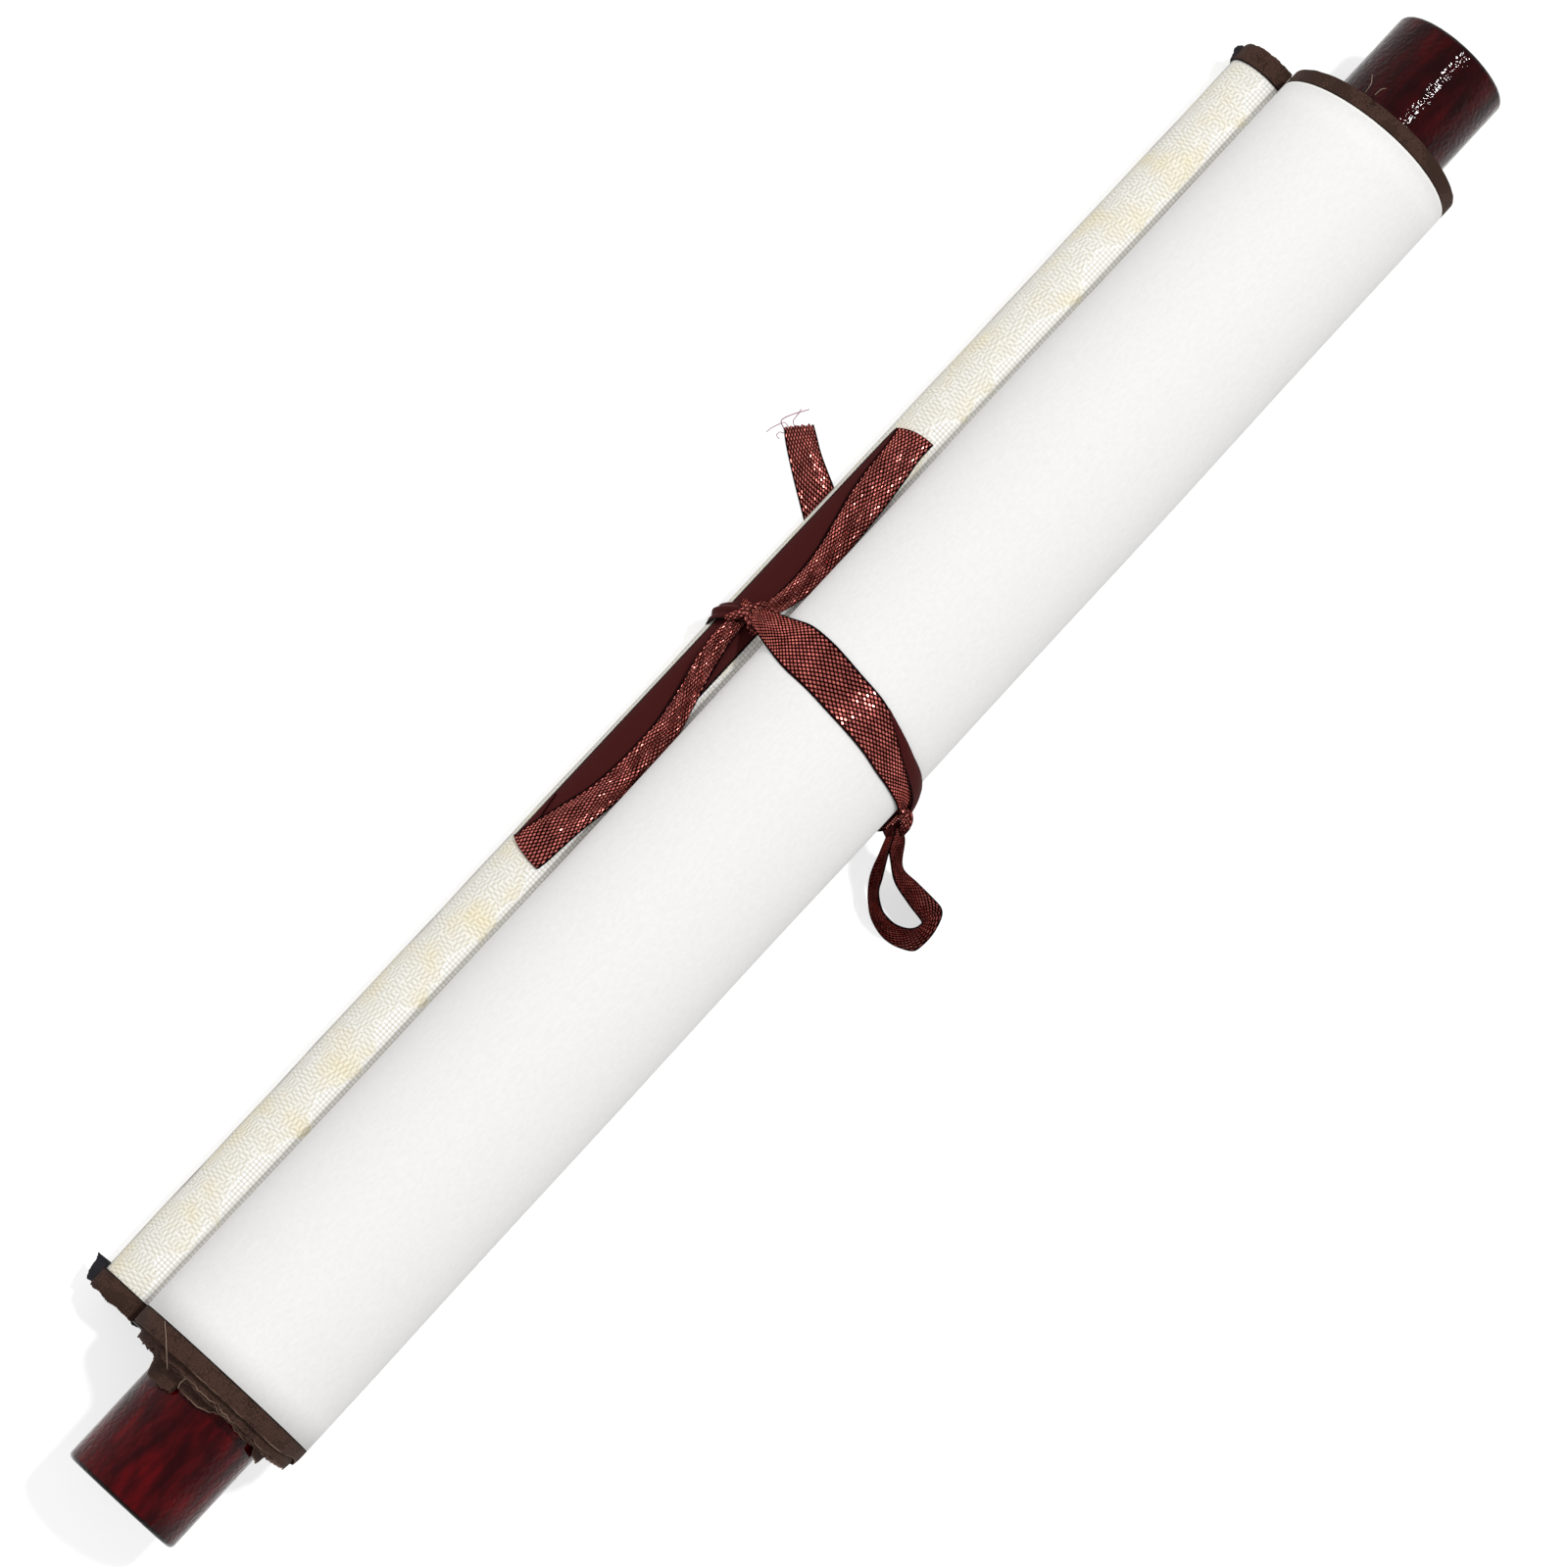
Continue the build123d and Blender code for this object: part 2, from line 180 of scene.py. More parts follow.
floor_white, tree, place = new_material("white_studio_floor")
glow = add(tree, "Math", {0: seen_directly(tree), 1: 0.64}, operation="MULTIPLY")
matte = add(tree, "BsdfDiffuse", {"Color": linear("#cbcbcb")})
light_up = add(tree, "Emission", {"Color": (1, 1, 1, 1), "Strength": glow})
add(tree, "OutputMaterial", {"Surface": add(tree, "AddShader", {0: matte, 1: light_up})})
floor_mesh.materials.append(floor_white)

# %% Surround
# Bright from the horizon up to a quarter of the way, then darker to the opening
# overhead. The side by the stave is a fifth brighter.
world = bpy.data.worlds.new("photo_tent")
world.use_nodes = True
bpy.context.scene.world = world
tree = world.node_tree
tree.nodes.clear()
towards = add(tree, "TexCoord", out="Generated")
height = add(tree, "SeparateXYZ", {0: towards}, out="Z")
tent = add(tree, "MapRange", {"Value": height, "From Min": 0.25, "From Max": 0.9,
                              "To Min": 0.85, "To Max": 0.44})
stave_side = add(tree, "Math", {0: add(tree, "SeparateXYZ", {0: towards}, out="Y"), 1: 0.21, 2: 1.0},
                 operation="MULTIPLY_ADD")
tent = add(tree, "Math", {0: tent, 1: stave_side}, operation="MULTIPLY")
camera_ray = add(tree, "LightPath", out="Is Camera Ray")
clear_ray = add(tree, "LightPath", out="Is Transmission Ray")
low = add(tree, "Math", {0: height, 1: 0.30}, operation="LESS_THAN")
low_gloss = add(tree, "Math", {0: add(tree, "LightPath", out="Is Glossy Ray"), 1: low}, operation="MULTIPLY")
seen = add(tree, "Math", {0: camera_ray, 1: low_gloss}, operation="ADD")
seen = add(tree, "Math", {0: seen, 1: clear_ray}, operation="ADD", use_clamp=True)
soft = add(tree, "Background", {"Color": (1, 1, 1, 1), "Strength": tent})
white = add(tree, "Background", {"Color": (1, 1, 1, 1), "Strength": 1.0})
add(tree, "OutputWorld", {"Surface": add(tree, "MixShader", {0: seen, 1: soft, 2: white})})

# %% Lamp


def lamp(name, place, aim, size, power):
    """Square area lamp at a place, turned to its aim, both in scroll millimetres."""
    data = bpy.data.lights.new(name, "AREA")
    data.size = size * MM
    data.energy = power
    thing = bpy.data.objects.new(name, data)
    bpy.context.scene.collection.objects.link(thing)
    start, end = (Vector((np.array(p) + START) * MM) for p in (place, aim))
    facing = (end - start).to_track_quat("-Z", "Y")
    thing.matrix_world = Matrix.Translation(start) @ facing.to_matrix().to_4x4()
    return thing


lamp("key_lamp", place=(2120, -900, 5400), aim=(0, 0, 0), size=400, power=163.0)
print("floor", floor_size, "m wide, one lamp")

# %% [markdown]
# ## Thin pieces as shells
# Paper and cloth have two sides and a thin edge. Each piece is a grid of points for
# its middle, moved half a thickness along the normal to both sides and closed round
# the rim, so it is a solid sheet, with the better face and the back on separate
# material slots. The map on it is in millimetres, so patterns keep their true size.

# %% Shell builder


def grid_normals(points):
    """Unit normals of a grid: the cross product of its row and column directions."""
    rows = np.gradient(points, axis=0)
    cols = np.gradient(points, axis=1)
    normal = np.cross(rows, cols)
    return normal / np.maximum(np.linalg.norm(normal, axis=2, keepdims=True), 1e-9)


def shell(points, thickness, uv):
    """Closed shell round a grid of points: the front is half a thickness along the
    normal, the back half a thickness the other way, and four rims join them. Returns
    vertices, quads, map and the slot of each quad (0 front and rim, 1 back)."""
    normal = grid_normals(points)
    front = points + normal * thickness / 2
    rear = points - normal * thickness / 2
    n, m = points.shape[:2]
    index = np.arange(n * m).reshape(n, m)
    a, b, c, d = index[:-1, :-1], index[1:, :-1], index[1:, 1:], index[:-1, 1:]
    top = np.stack([a, b, c, d], -1).reshape(-1, 4)
    bottom = top[:, ::-1] + n * m
    loop = np.concatenate([index[:-1, 0], index[-1, :-1], index[:0:-1, -1], index[0, :0:-1]])
    after = np.roll(loop, -1)
    rim = np.stack([after, loop, loop + n * m, after + n * m], -1)
    quads = np.concatenate([top, bottom, rim])
    slots = np.concatenate([np.zeros(len(top)), np.ones(len(bottom)), np.zeros(len(rim))])
    vertices = np.concatenate([front.reshape(-1, 3), rear.reshape(-1, 3)])
    return vertices, quads, np.tile(uv.reshape(-1, 2), (2, 1)), slots.astype(int)


def add_piece(name, shells, materials, sharp=False):
    """One mesh object at the origin from several shells, with smooth shading, and with
    edges over 50 degrees kept sharp where the piece is torn or cut."""
    vertices, quads, maps, slots, start = [], [], [], [], 0
    for v, q, t, s in shells:
        vertices.append(v)
        quads.append(q + start)
        maps.append(t)
        slots.append(s)
        start += len(v)
    vertices, quads = (np.concatenate(vertices) + START) * MM, np.concatenate(quads)
    mesh = bpy.data.meshes.new(name)
    mesh.vertices.add(len(vertices))
    mesh.vertices.foreach_set("co", vertices.astype(np.float32).ravel())
    mesh.loops.add(quads.size)
    mesh.loops.foreach_set("vertex_index", quads.astype(np.int32).ravel())
    mesh.polygons.add(len(quads))
    mesh.polygons.foreach_set("loop_start", np.arange(0, quads.size, 4, dtype=np.int32))
    mesh.polygons.foreach_set("material_index", np.concatenate(slots).astype(np.int32))
    mesh.update(calc_edges=True)
    layer = mesh.uv_layers.new(name="millimetres")
    layer.data.foreach_set("uv", np.concatenate(maps)[quads.ravel()].astype(np.float32).ravel())
    mesh.validate()
    mesh.shade_smooth()
    if sharp:
        mesh.set_sharp_from_angle(angle=np.radians(50))
    for material in materials:
        mesh.materials.append(material)
    thing = bpy.data.objects.new(name, mesh)
    bpy.context.scene.collection.objects.link(thing)
    print(name, len(quads) * 2, "triangles")
    return thing


def lengths(points):
    """Distance run along each column of a grid, from its first row."""
    step = np.linalg.norm(np.diff(points, axis=0), axis=2)
    return np.concatenate([np.zeros((1, points.shape[1])), np.cumsum(step, axis=0)])


def smooth(stations, t):
    """Values at t through stations (t0, a, b, ...): cubic pieces between stations. The
    slope at each station comes from its neighbours, and is held to three times the
    flatter of the two sides so that nothing overshoots."""
    table = np.asarray(stations, float)
    x, y = table[:, 0], table[:, 1:]
    slope = np.gradient(y, x, axis=0)
    steep = 3 * np.abs(np.diff(y, axis=0) / np.diff(x)[:, None])
    limit = np.minimum(np.concatenate([steep[:1], steep]), np.concatenate([steep, steep[-1:]]))
    slope = np.clip(slope, -limit, limit)
    i = np.clip(np.searchsorted(x, t) - 1, 0, len(x) - 2)
    h = (x[i + 1] - x[i])[:, None]
    u = np.clip((t - x[i])[:, None] / h, 0, 1)
    rise = y[i + 1] - y[i]
    bend_a = slope[i] * h - rise
    bend_b = rise - slope[i + 1] * h
    return y[i] + rise * u + u * (1 - u) * (bend_a * (1 - u) + bend_b * u)


def ragged(t, pitch, seed):
    """Random height from -1 to 1 along t: random values every pitch, joined by lines.
    Of 4096 drawn values, the 2000th stands at t = 0."""
    values = np.random.default_rng(seed).uniform(-1, 1, 4096)
    k = np.asarray(t, float) / pitch + 2000
    i = np.floor(k).astype(int) % 4095
    return values[i] + (values[i + 1] - values[i]) * (k - np.floor(k))


def points_from(x, y, z):
    """Points from arrays of x, y and z that broadcast together."""
    return np.stack(np.broadcast_arrays(x, y, z), -1)


def about(centre, x, angle, radius):
    """Points at an angle from +Y towards +Z and a radius about an axis along x."""
    a = np.radians(angle)
    return points_from(x, centre[0] + radius * np.cos(a), centre[1] + radius * np.sin(a))


# %% Fibre builder


def drawn_fibre(points, radius, slot=0):
    """Fine tube along a smooth line through points, with rings of six vertices: the
    centre plus the radius times the cosine and sine of the ring's angle."""
    count, sides = 24, 6
    line = smooth([(i, *q) for i, q in enumerate(points)], np.linspace(0, len(points) - 1, count))
    ahead = np.gradient(line, axis=0)
    ahead /= np.linalg.norm(ahead, axis=1)[:, None]
    side = np.cross(ahead, [0.2, 0.3, 1.0])
    side /= np.linalg.norm(side, axis=1)[:, None]
    over = np.cross(side, ahead)
    a = 2 * np.pi * np.arange(sides) / sides
    ring = side[:, None] * np.cos(a)[None, :, None] + over[:, None] * np.sin(a)[None, :, None]
    vertices = (line[:, None] + radius * ring).reshape(-1, 3)
    index = np.arange(count * sides).reshape(count, sides)
    after = np.roll(index, -1, axis=1)
    quads = np.stack([index[:-1], after[:-1], after[1:], index[1:]], -1).reshape(-1, 4)
    caps = np.array([[5, 4, 1, 0], [4, 3, 2, 1]])
    quads = np.concatenate([quads, caps, caps[:, ::-1] + (count - 1) * sides])
    return vertices, quads, np.full((len(vertices), 2), 1.0), np.full(len(quads), slot)


# %% [markdown]
# ## Finishes
# Each finish is named for what the real thing is. Patterns read the object's own
# coordinates, or the map in millimetres where they follow a sheet.

# %% Lacquered wood of the knobs
# Turned beech under red lacquer with black rubbed in, so the red shows through in
# mottled streaks along the grain. The thick coat dries with an orange peel, about
# 0.9 mm from crest to crest, which breaks the lamp's reflection into specks. The
# outer arris is painted near black, a painted reflection of the dark it mirrors.
lacquer, tree, place = new_material("red_black_lacquered_beech")
along_grain = add(tree, "VectorMath", {0: place, 1: (0.11, 0.34, 0.34)}, operation="MULTIPLY")
streak = add(tree, "TexNoise", {"Vector": along_grain, "Scale": 1.0, "Detail": 3.0, "Roughness": 0.55})
colour = add(tree, "ValToRGB", {"Fac": streak},
             stops=[(0.34, "#2b0306"), (0.68, "#5a060b"), (0.45, "#380408"), (0.56, "#48050a")])
# more black stayed on the far knob
along_x = add(tree, "SeparateXYZ", {0: place}, out="X")
far_end = add(tree, "MapRange", {"Value": along_x, "From Min": -50.0, "From Max": 50.0, "To Max": 0.55})
colour = add(tree, "Mix", {"Factor": far_end, "A": colour, "B": linear("#120203")},
             out="Result", data_type="RGBA")
# painted reflection: the outer arris of each knob is painted near black
from_middle = add(tree, "Math", {0: along_x}, operation="ABSOLUTE")
rim = add(tree, "MapRange", {"Value": from_middle, "From Min": knob_high[0] - 1.0,
                             "From Max": knob_high[0] - 0.6})
from_axis = add(tree, "VectorMath", {0: place, 1: (0, START[1], ROLLER_Z)}, operation="SUBTRACT")
from_axis = add(tree, "VectorMath", {0: from_axis, 1: (0, 1, 1)}, operation="MULTIPLY")
from_axis = add(tree, "VectorMath", {0: from_axis}, out="Value", operation="LENGTH")
outside = add(tree, "Math", {0: from_axis, 1: KNOB_RADIUS - 1.3}, operation="GREATER_THAN")
rim = add(tree, "Math", {0: rim, 1: outside}, operation="MULTIPLY")
colour = add(tree, "Mix", {"Factor": rim, "A": colour, "B": linear("#070202")},
             out="Result", data_type="RGBA")
peel = add(tree, "TexNoise", {"Vector": place, "Scale": 1.1, "Detail": 0.0})
peel_bump = add(tree, "Bump", {"Height": peel, "Strength": 1.0, "Distance": 0.00012})
gloss = add(tree, "BsdfPrincipled", {"Base Color": colour, "Roughness": 0.05, "IOR": 1.5,
                                     "Specular IOR Level": 0.13, "Normal": peel_bump})
add(tree, "OutputMaterial", {"Surface": gloss})

# %% Plain wood of the roller and the stave
# Straight-grained softwood, sanded and left bare, with thin darker lines of late wood.
pine, tree, place = new_material("sanded_pine")
along_grain = add(tree, "VectorMath", {0: place, 1: (0.02, 0.9, 0.9)}, operation="MULTIPLY")
grain = add(tree, "TexNoise", {"Vector": along_grain, "Scale": 1.0, "Detail": 3.0})
colour = add(tree, "ValToRGB", {"Fac": grain},
             stops=[(0.38, "#b98d5d"), (0.66, "#e6c99c"), (0.52, "#d9b583")])
bare = add(tree, "BsdfPrincipled", {"Base Color": colour, "Roughness": 0.6})
add(tree, "OutputMaterial", {"Surface": bare})

# %% Backing paper
# Soft white mulberry paper. Up close it has faint felted fibres, small raised knots
# and a rare dark fleck. Its far edge is cut clean, and the light it catches there is
# painted as a whiter line.
paper, tree, place = new_material("white_mulberry_backing_paper")
felt_place = add(tree, "VectorMath", {0: place, 1: (0.5, 1.0, 1.0)}, operation="MULTIPLY")
felt = add(tree, "TexNoise", {"Vector": felt_place, "Scale": 1.5, "Detail": 4.0, "Roughness": 0.6})
tone = add(tree, "ValToRGB", {"Fac": felt}, stops=[(0.30, "#f0efee"), (0.70, "#f6f5f3")])
fleck = add(tree, "TexVoronoi", {"Vector": place, "Scale": 0.040}, feature="F1", out="Distance")
fleck = add(tree, "Math", {0: fleck, 1: 0.012}, operation="LESS_THAN")
tone = add(tree, "Mix", {"Factor": fleck, "A": tone, "B": linear("#9a9692")},
           out="Result", data_type="RGBA")
# painted highlight: a whiter line along the far cut edge
cut = add(tree, "SeparateXYZ", {0: add(tree, "UVMap", uv_map="millimetres")}, out="X")
cut = add(tree, "MapRange", {"Value": cut, "From Min": 0.35, "From Max": 0.60, "To Min": 1.0, "To Max": 0.0})
tone = add(tree, "Mix", {"Factor": cut, "A": tone, "B": linear("#fffdf8")}, out="Result", data_type="RGBA")
knots = add(tree, "TexVoronoi", {"Vector": place, "Scale": 0.085}, feature="F1", out="Distance")
knots = add(tree, "MapRange", {"Value": knots, "From Min": 0.012, "From Max": 0.035,
                               "To Min": 1.0, "To Max": 0.0})
felt_height = add(tree, "Math", {0: felt, 1: 0.35, 2: knots}, operation="MULTIPLY_ADD")
felt_bump = add(tree, "Bump", {"Height": felt_height, "Strength": 0.25, "Distance": 0.00006})
surface = add(tree, "BsdfPrincipled", {"Base Color": tone, "Roughness": 0.72, "Specular IOR Level": 0.3,
                                       "Normal": felt_bump})
add(tree, "OutputMaterial", {"Surface": surface})

# %% Binding paper
# Dyed brown paper, matte and a little fuzzy, lighter where it is rubbed. Each strip is
# pasted over its neighbour, and the shadow along that joint is painted nearly black in a
# line 0.3 mm wide. Its underside is drawn nearly black as well. Where it is torn, the
# undyed core of the paper shows in parts as a thin pale line, with a painted highlight
# that makes it stronger on the open side of the roll, towards the lamp.
brown, tree, place = new_material("brown_dyed_binding_paper")
fibre = add(tree, "TexNoise", {"Vector": place, "Scale": 2.2, "Detail": 4.0, "Roughness": 0.65})
patch = add(tree, "TexNoise", {"Vector": place, "Scale": 0.13, "Detail": 2.0})
blend = add(tree, "Math", {0: fibre, 1: patch}, operation="ADD")
colour = add(tree, "ValToRGB", {"Fac": blend},
             stops=[(0.72, "#271813"), (1.28, "#513a31"), (1.0, "#392720")])
from_edges = add(tree, "UVMap", uv_map="millimetres")
from_joint, from_lip = (add(tree, "SeparateXYZ", {0: from_edges}, out=axis) for axis in "XY")
# painted shadow: a near-black line 0.3 mm wide along the joint
joint_shadow = add(tree, "MapRange", {"Value": from_joint, "From Min": 0.22, "From Max": 0.36,
                                "To Min": 1.0, "To Max": 0.0})
colour = add(tree, "Mix", {"Factor": joint_shadow, "A": colour, "B": linear("#0f0908")},
             out="Result", data_type="RGBA")
# pale torn line: the undyed core, plus a painted highlight on the open side towards the lamp
torn = add(tree, "MapRange", {"Value": from_lip, "From Min": 0.10, "From Max": 0.26,
                              "To Min": 1.0, "To Max": 0.0})
broken = add(tree, "MapRange", {"Value": patch, "From Min": 0.42, "From Max": 0.58})
open_y = add(tree, "SeparateXYZ", {0: place}, out="Y")
lamp_side = add(tree, "MapRange", {"Value": open_y, "From Min": START[1] + 4.0, "From Max": START[1] + 9.0,
                                   "To Min": 1.0, "To Max": 0.15})
torn = add(tree, "Math", {0: torn, 1: broken}, operation="MULTIPLY")
torn = add(tree, "Math", {0: torn, 1: lamp_side}, operation="MULTIPLY")
colour = add(tree, "Mix", {"Factor": torn, "A": colour, "B": linear("#8a7061")},
             out="Result", data_type="RGBA")
fuzz = add(tree, "Bump", {"Height": fibre, "Strength": 0.6, "Distance": 0.00010})
dull = add(tree, "BsdfPrincipled", {"Base Color": colour, "Roughness": 0.80, "Specular IOR Level": 0.12,
                                    "Normal": fuzz})
add(tree, "OutputMaterial", {"Surface": dull})

underside, tree, place = new_material("near_black_paper_underside")
fibre = add(tree, "TexNoise", {"Vector": place, "Scale": 1.6, "Detail": 3.0})
colour = add(tree, "ValToRGB", {"Fac": fibre}, stops=[(0.3, "#0e0d13"), (0.7, "#1d1a22")])
dull = add(tree, "BsdfPrincipled", {"Base Color": colour, "Roughness": 0.7, "Specular IOR Level": 0.3})
add(tree, "OutputMaterial", {"Surface": dull})

# %% Brocade
# Rayon jacquard in cream. Its floats make short dashes, 0.5 mm apart, that turn from
# one patch to the next, with faint yellow clouds. Towards the roll the plain ground
# weave shows as rows of small beads, 0.9 mm apart, and there the cream is painted
# white, painted light against the shade of the crook. Along the outer side runs a
# painted shade line, in patches, darkest near the torn end.
brocade, tree, place = new_material("cream_rayon_brocade", follows_sheet=True)
RIB, BEAD = 0.50, 0.90
# the plain weave ends 1.8 mm short of the stave's axis, on a line that wanders
PLAIN_EDGE, WANDER = 1.8, 14.0


def waves(tree, value, pitch):
    """Sine of a length over a pitch, from 0 to 1."""
    turn = add(tree, "Math", {0: value, 1: 2 * np.pi / pitch}, operation="MULTIPLY")
    sine = add(tree, "Math", {0: turn}, operation="SINE")
    return add(tree, "Math", {0: sine, 1: 0.5, 2: 0.5}, operation="MULTIPLY_ADD")


drift = add(tree, "TexNoise", {"Vector": place, "Scale": 0.40, "Detail": 1.0}, out="Color")
shifted = add(tree, "VectorMath", {0: drift, 1: (0.7, 0.7, 0.0), 2: place}, operation="MULTIPLY_ADD")
shift_x, shift_y = (add(tree, "SeparateXYZ", {0: shifted}, out=axis) for axis in "XY")


def dashes(tree, side, run):
    """Staggered dashes along run: the product of waves on two slanted families of
    lines, side + 0.35 run and side - 0.35 run."""
    slanted = (add(tree, "Math", {0: run, 1: slope, 2: side}, operation="MULTIPLY_ADD")
               for slope in (0.35, -0.35))
    one, other = (waves(tree, line, 2 * RIB) for line in slanted)
    return add(tree, "Math", {0: one, 1: other}, operation="MULTIPLY")


map_x, map_y = (add(tree, "SeparateXYZ", {0: place}, out=axis) for axis in "XY")
bead_x, bead_y = (waves(tree, value, BEAD) for value in (map_x, map_y))
motif = add(tree, "TexNoise", {"Vector": place, "Scale": 0.26, "Detail": 1.0})
choice = add(tree, "MapRange", {"Value": motif, "From Min": 0.48, "From Max": 0.53})
dash_x, dash_y = dashes(tree, shift_x, shift_y), dashes(tree, shift_y, shift_x)
figured = add(tree, "Mix", {"Factor": choice, "A": dash_x, "B": dash_y}, out="Result", data_type="FLOAT")
figured = add(tree, "Math", {0: figured, 1: 2.0}, operation="MULTIPLY")
beads = add(tree, "Math", {0: bead_x, 1: bead_y}, operation="MULTIPLY")
cloud = add(tree, "TexNoise", {"Vector": place, "Scale": 0.11, "Detail": 2.0})
across_stave = add(tree, "SeparateXYZ", {0: add(tree, "TexCoord", out="Object")}, out="Y")
wander = add(tree, "Math", {0: cloud, 1: WANDER * MM, 2: across_stave}, operation="MULTIPLY_ADD")
plain_from = (STAVE_Y + START[1] - PLAIN_EDGE + WANDER / 2) * MM
plain_weave_and_painted_light = add(tree, "MapRange", {"Value": wander, "From Min": plain_from - 0.5 * MM,
                               "From Max": plain_from + 0.5 * MM, "To Min": 1.0, "To Max": 0.0})
beads = add(tree, "Math", {0: beads, 1: 1.6}, operation="MULTIPLY")
relief = add(tree, "Mix", {"Factor": plain_weave_and_painted_light, "A": figured, "B": beads}, out="Result", data_type="FLOAT")
ground = add(tree, "ValToRGB", {"Fac": cloud},
             stops=[(0.46, "#f6f4ee"), (0.72, "#f6eed6"), (0.58, "#f6f2e5")])
# painted light: in the plain weave by the roll the cream is painted white
ground = add(tree, "Mix", {"Factor": plain_weave_and_painted_light, "A": ground, "B": linear("#ffffff")},
             out="Result", data_type="RGBA")
groove = add(tree, "ValToRGB", {"Fac": relief},
             stops=[(0.0, "#dedbd1"), (0.6, "#ffffff"), (0.2, "#f5f3ee")])
gaps = add(tree, "ValToRGB", {"Fac": relief},
           stops=[(0.0, "#d6d3c8"), (0.45, "#ffffff"), (0.2, "#efede6")])
groove = add(tree, "Mix", {"Factor": plain_weave_and_painted_light, "A": groove, "B": gaps}, out="Result", data_type="RGBA")
cream = add(tree, "Mix", {"Factor": 1.0, "A": ground, "B": groove}, out="Result", data_type="RGBA",
            blend_type="MULTIPLY")
# painted shade: a dark line along the outer side, in patches, strongest near the torn end
outer_line = 2 * np.pi * BROCADE_RADIUS
from_line = add(tree, "Math", {0: map_y, 1: outer_line}, operation="SUBTRACT")
from_line = add(tree, "Math", {0: from_line}, operation="ABSOLUTE")
painted_shade_line = add(tree, "MapRange", {"Value": from_line, "From Min": 1.4, "From Max": 3.0,
                                "To Min": 1.0, "To Max": 0.0})
amount = add(tree, "MapRange", {"Value": map_x, "From Min": 20.0, "From Max": 150.0,
                                "To Min": 0.8, "To Max": 0.4})
painted_shade_line = add(tree, "Math", {0: painted_shade_line, 1: amount}, operation="MULTIPLY")
shade_patches = add(tree, "MapRange", {"Value": cloud, "From Min": 0.35, "From Max": 0.60,
                               "To Min": 1.1, "To Max": 0.45})
painted_shade_line = add(tree, "Math", {0: painted_shade_line, 1: shade_patches}, operation="MULTIPLY", use_clamp=True)
cream = add(tree, "Mix", {"Factor": painted_shade_line, "A": cream, "B": linear("#4a463c")},
            out="Result", data_type="RGBA")
weave_bump = add(tree, "Bump", {"Height": relief, "Strength": 0.5, "Distance": 0.00010})
silky = add(tree, "BsdfPrincipled", {"Base Color": cream, "Roughness": 0.5, "Specular IOR Level": 0.3,
                                     "Normal": weave_bump})
add(tree, "OutputMaterial", {"Surface": silky})

# %% Satin ribbon, face
# Woven polyester satin, 10 mm wide. The warp floats lie in diagonal rows, each a small
# glossy facet with its own tilt, so the face glints in points. Each float is also painted
# lighter or darker at random as painted glints, and broad patches of painted light and
# shade lie over that. The selvedge is nearly black. The floats are drawn 0.9 mm apart,
# coarser than real ones, to show. The slip loop is painted darker, painted shade on its
# steep sides.
RIBBON = 10.0
FLOAT = 0.92
SELVEDGE = 4.45
LOOP_FROM, LOOP_TO = -25.5, -23.0


def selvedge(tree, side, colour, dark):
    """The colour of a ribbon with a dark line along both its edges."""
    from_centre = add(tree, "Math", {0: side, 1: RIBBON / 2}, operation="SUBTRACT")
    from_centre = add(tree, "Math", {0: from_centre}, operation="ABSOLUTE")
    edge = add(tree, "MapRange", {"Value": from_centre, "From Min": SELVEDGE, "From Max": SELVEDGE + 0.2})
    return add(tree, "Mix", {"Factor": edge, "A": colour, "B": linear(dark)},
               out="Result", data_type="RGBA")


satin, tree, place = new_material("maroon_satin_face", follows_sheet=True)
side, run = (add(tree, "SeparateXYZ", {0: place}, out=axis) for axis in "XY")
run = add(tree, "Math", {0: run, 1: 0.60}, operation="MULTIPLY")
rising = add(tree, "Math", {0: side, 1: run}, operation="ADD")
falling = add(tree, "Math", {0: side, 1: run}, operation="SUBTRACT")
floats = add(tree, "Math", {0: waves(tree, rising, FLOAT), 1: waves(tree, falling, FLOAT)},
             operation="MULTIPLY")
rows = add(tree, "CombineXYZ", {0: rising, 1: falling})
# moved by a quarter of a float, each cell holds one whole float
counted = add(tree, "VectorMath", {0: rows, 1: (1 / FLOAT, 1 / FLOAT, 0), 2: (0.25, 0.25, 0)},
              operation="MULTIPLY_ADD")
cell = add(tree, "VectorMath", {0: counted}, operation="FLOOR")
inside = add(tree, "VectorMath", {0: counted}, operation="FRACTION")
drawn = add(tree, "TexWhiteNoise", {"Vector": cell}, out="Color", noise_dimensions="2D")
chance = add(tree, "SeparateXYZ", {0: drawn}, out="Z")
lean_by = add(tree, "VectorMath", {0: drawn, 1: (0.5, 0.5, 0.5)}, operation="SUBTRACT")
tilt = add(tree, "VectorMath", {0: lean_by, 1: inside}, out="Value", operation="DOT_PRODUCT")
tilt = add(tree, "Math", {0: tilt, 1: 1.8}, operation="MULTIPLY")
facet = add(tree, "MapRange", {"Value": floats, "From Min": 0.04, "From Max": 0.30})
height = add(tree, "Math", {0: facet, 1: tilt, 2: facet}, operation="MULTIPLY_ADD")
colour = add(tree, "ValToRGB", {"Fac": floats},
             stops=[(0.03, "#160708"), (0.62, "#de7f76"), (0.25, "#853b35")])
# painted glints: each float is lighter or darker at random
painted_light_and_shade = add(tree, "MapRange", {"Value": chance, "To Min": 0.70, "To Max": 1.20})
# painted light and shade in broad patches
painted_light_patches = add(tree, "TexNoise", {"Vector": place, "Scale": 0.20, "Detail": 1.0})
painted_light_patches = add(tree, "MapRange", {"Value": painted_light_patches, "From Min": 0.38, "From Max": 0.62,
                              "To Min": 0.75, "To Max": 1.20})
painted_light_and_shade = add(tree, "Math", {0: painted_light_and_shade, 1: painted_light_patches}, operation="MULTIPLY")
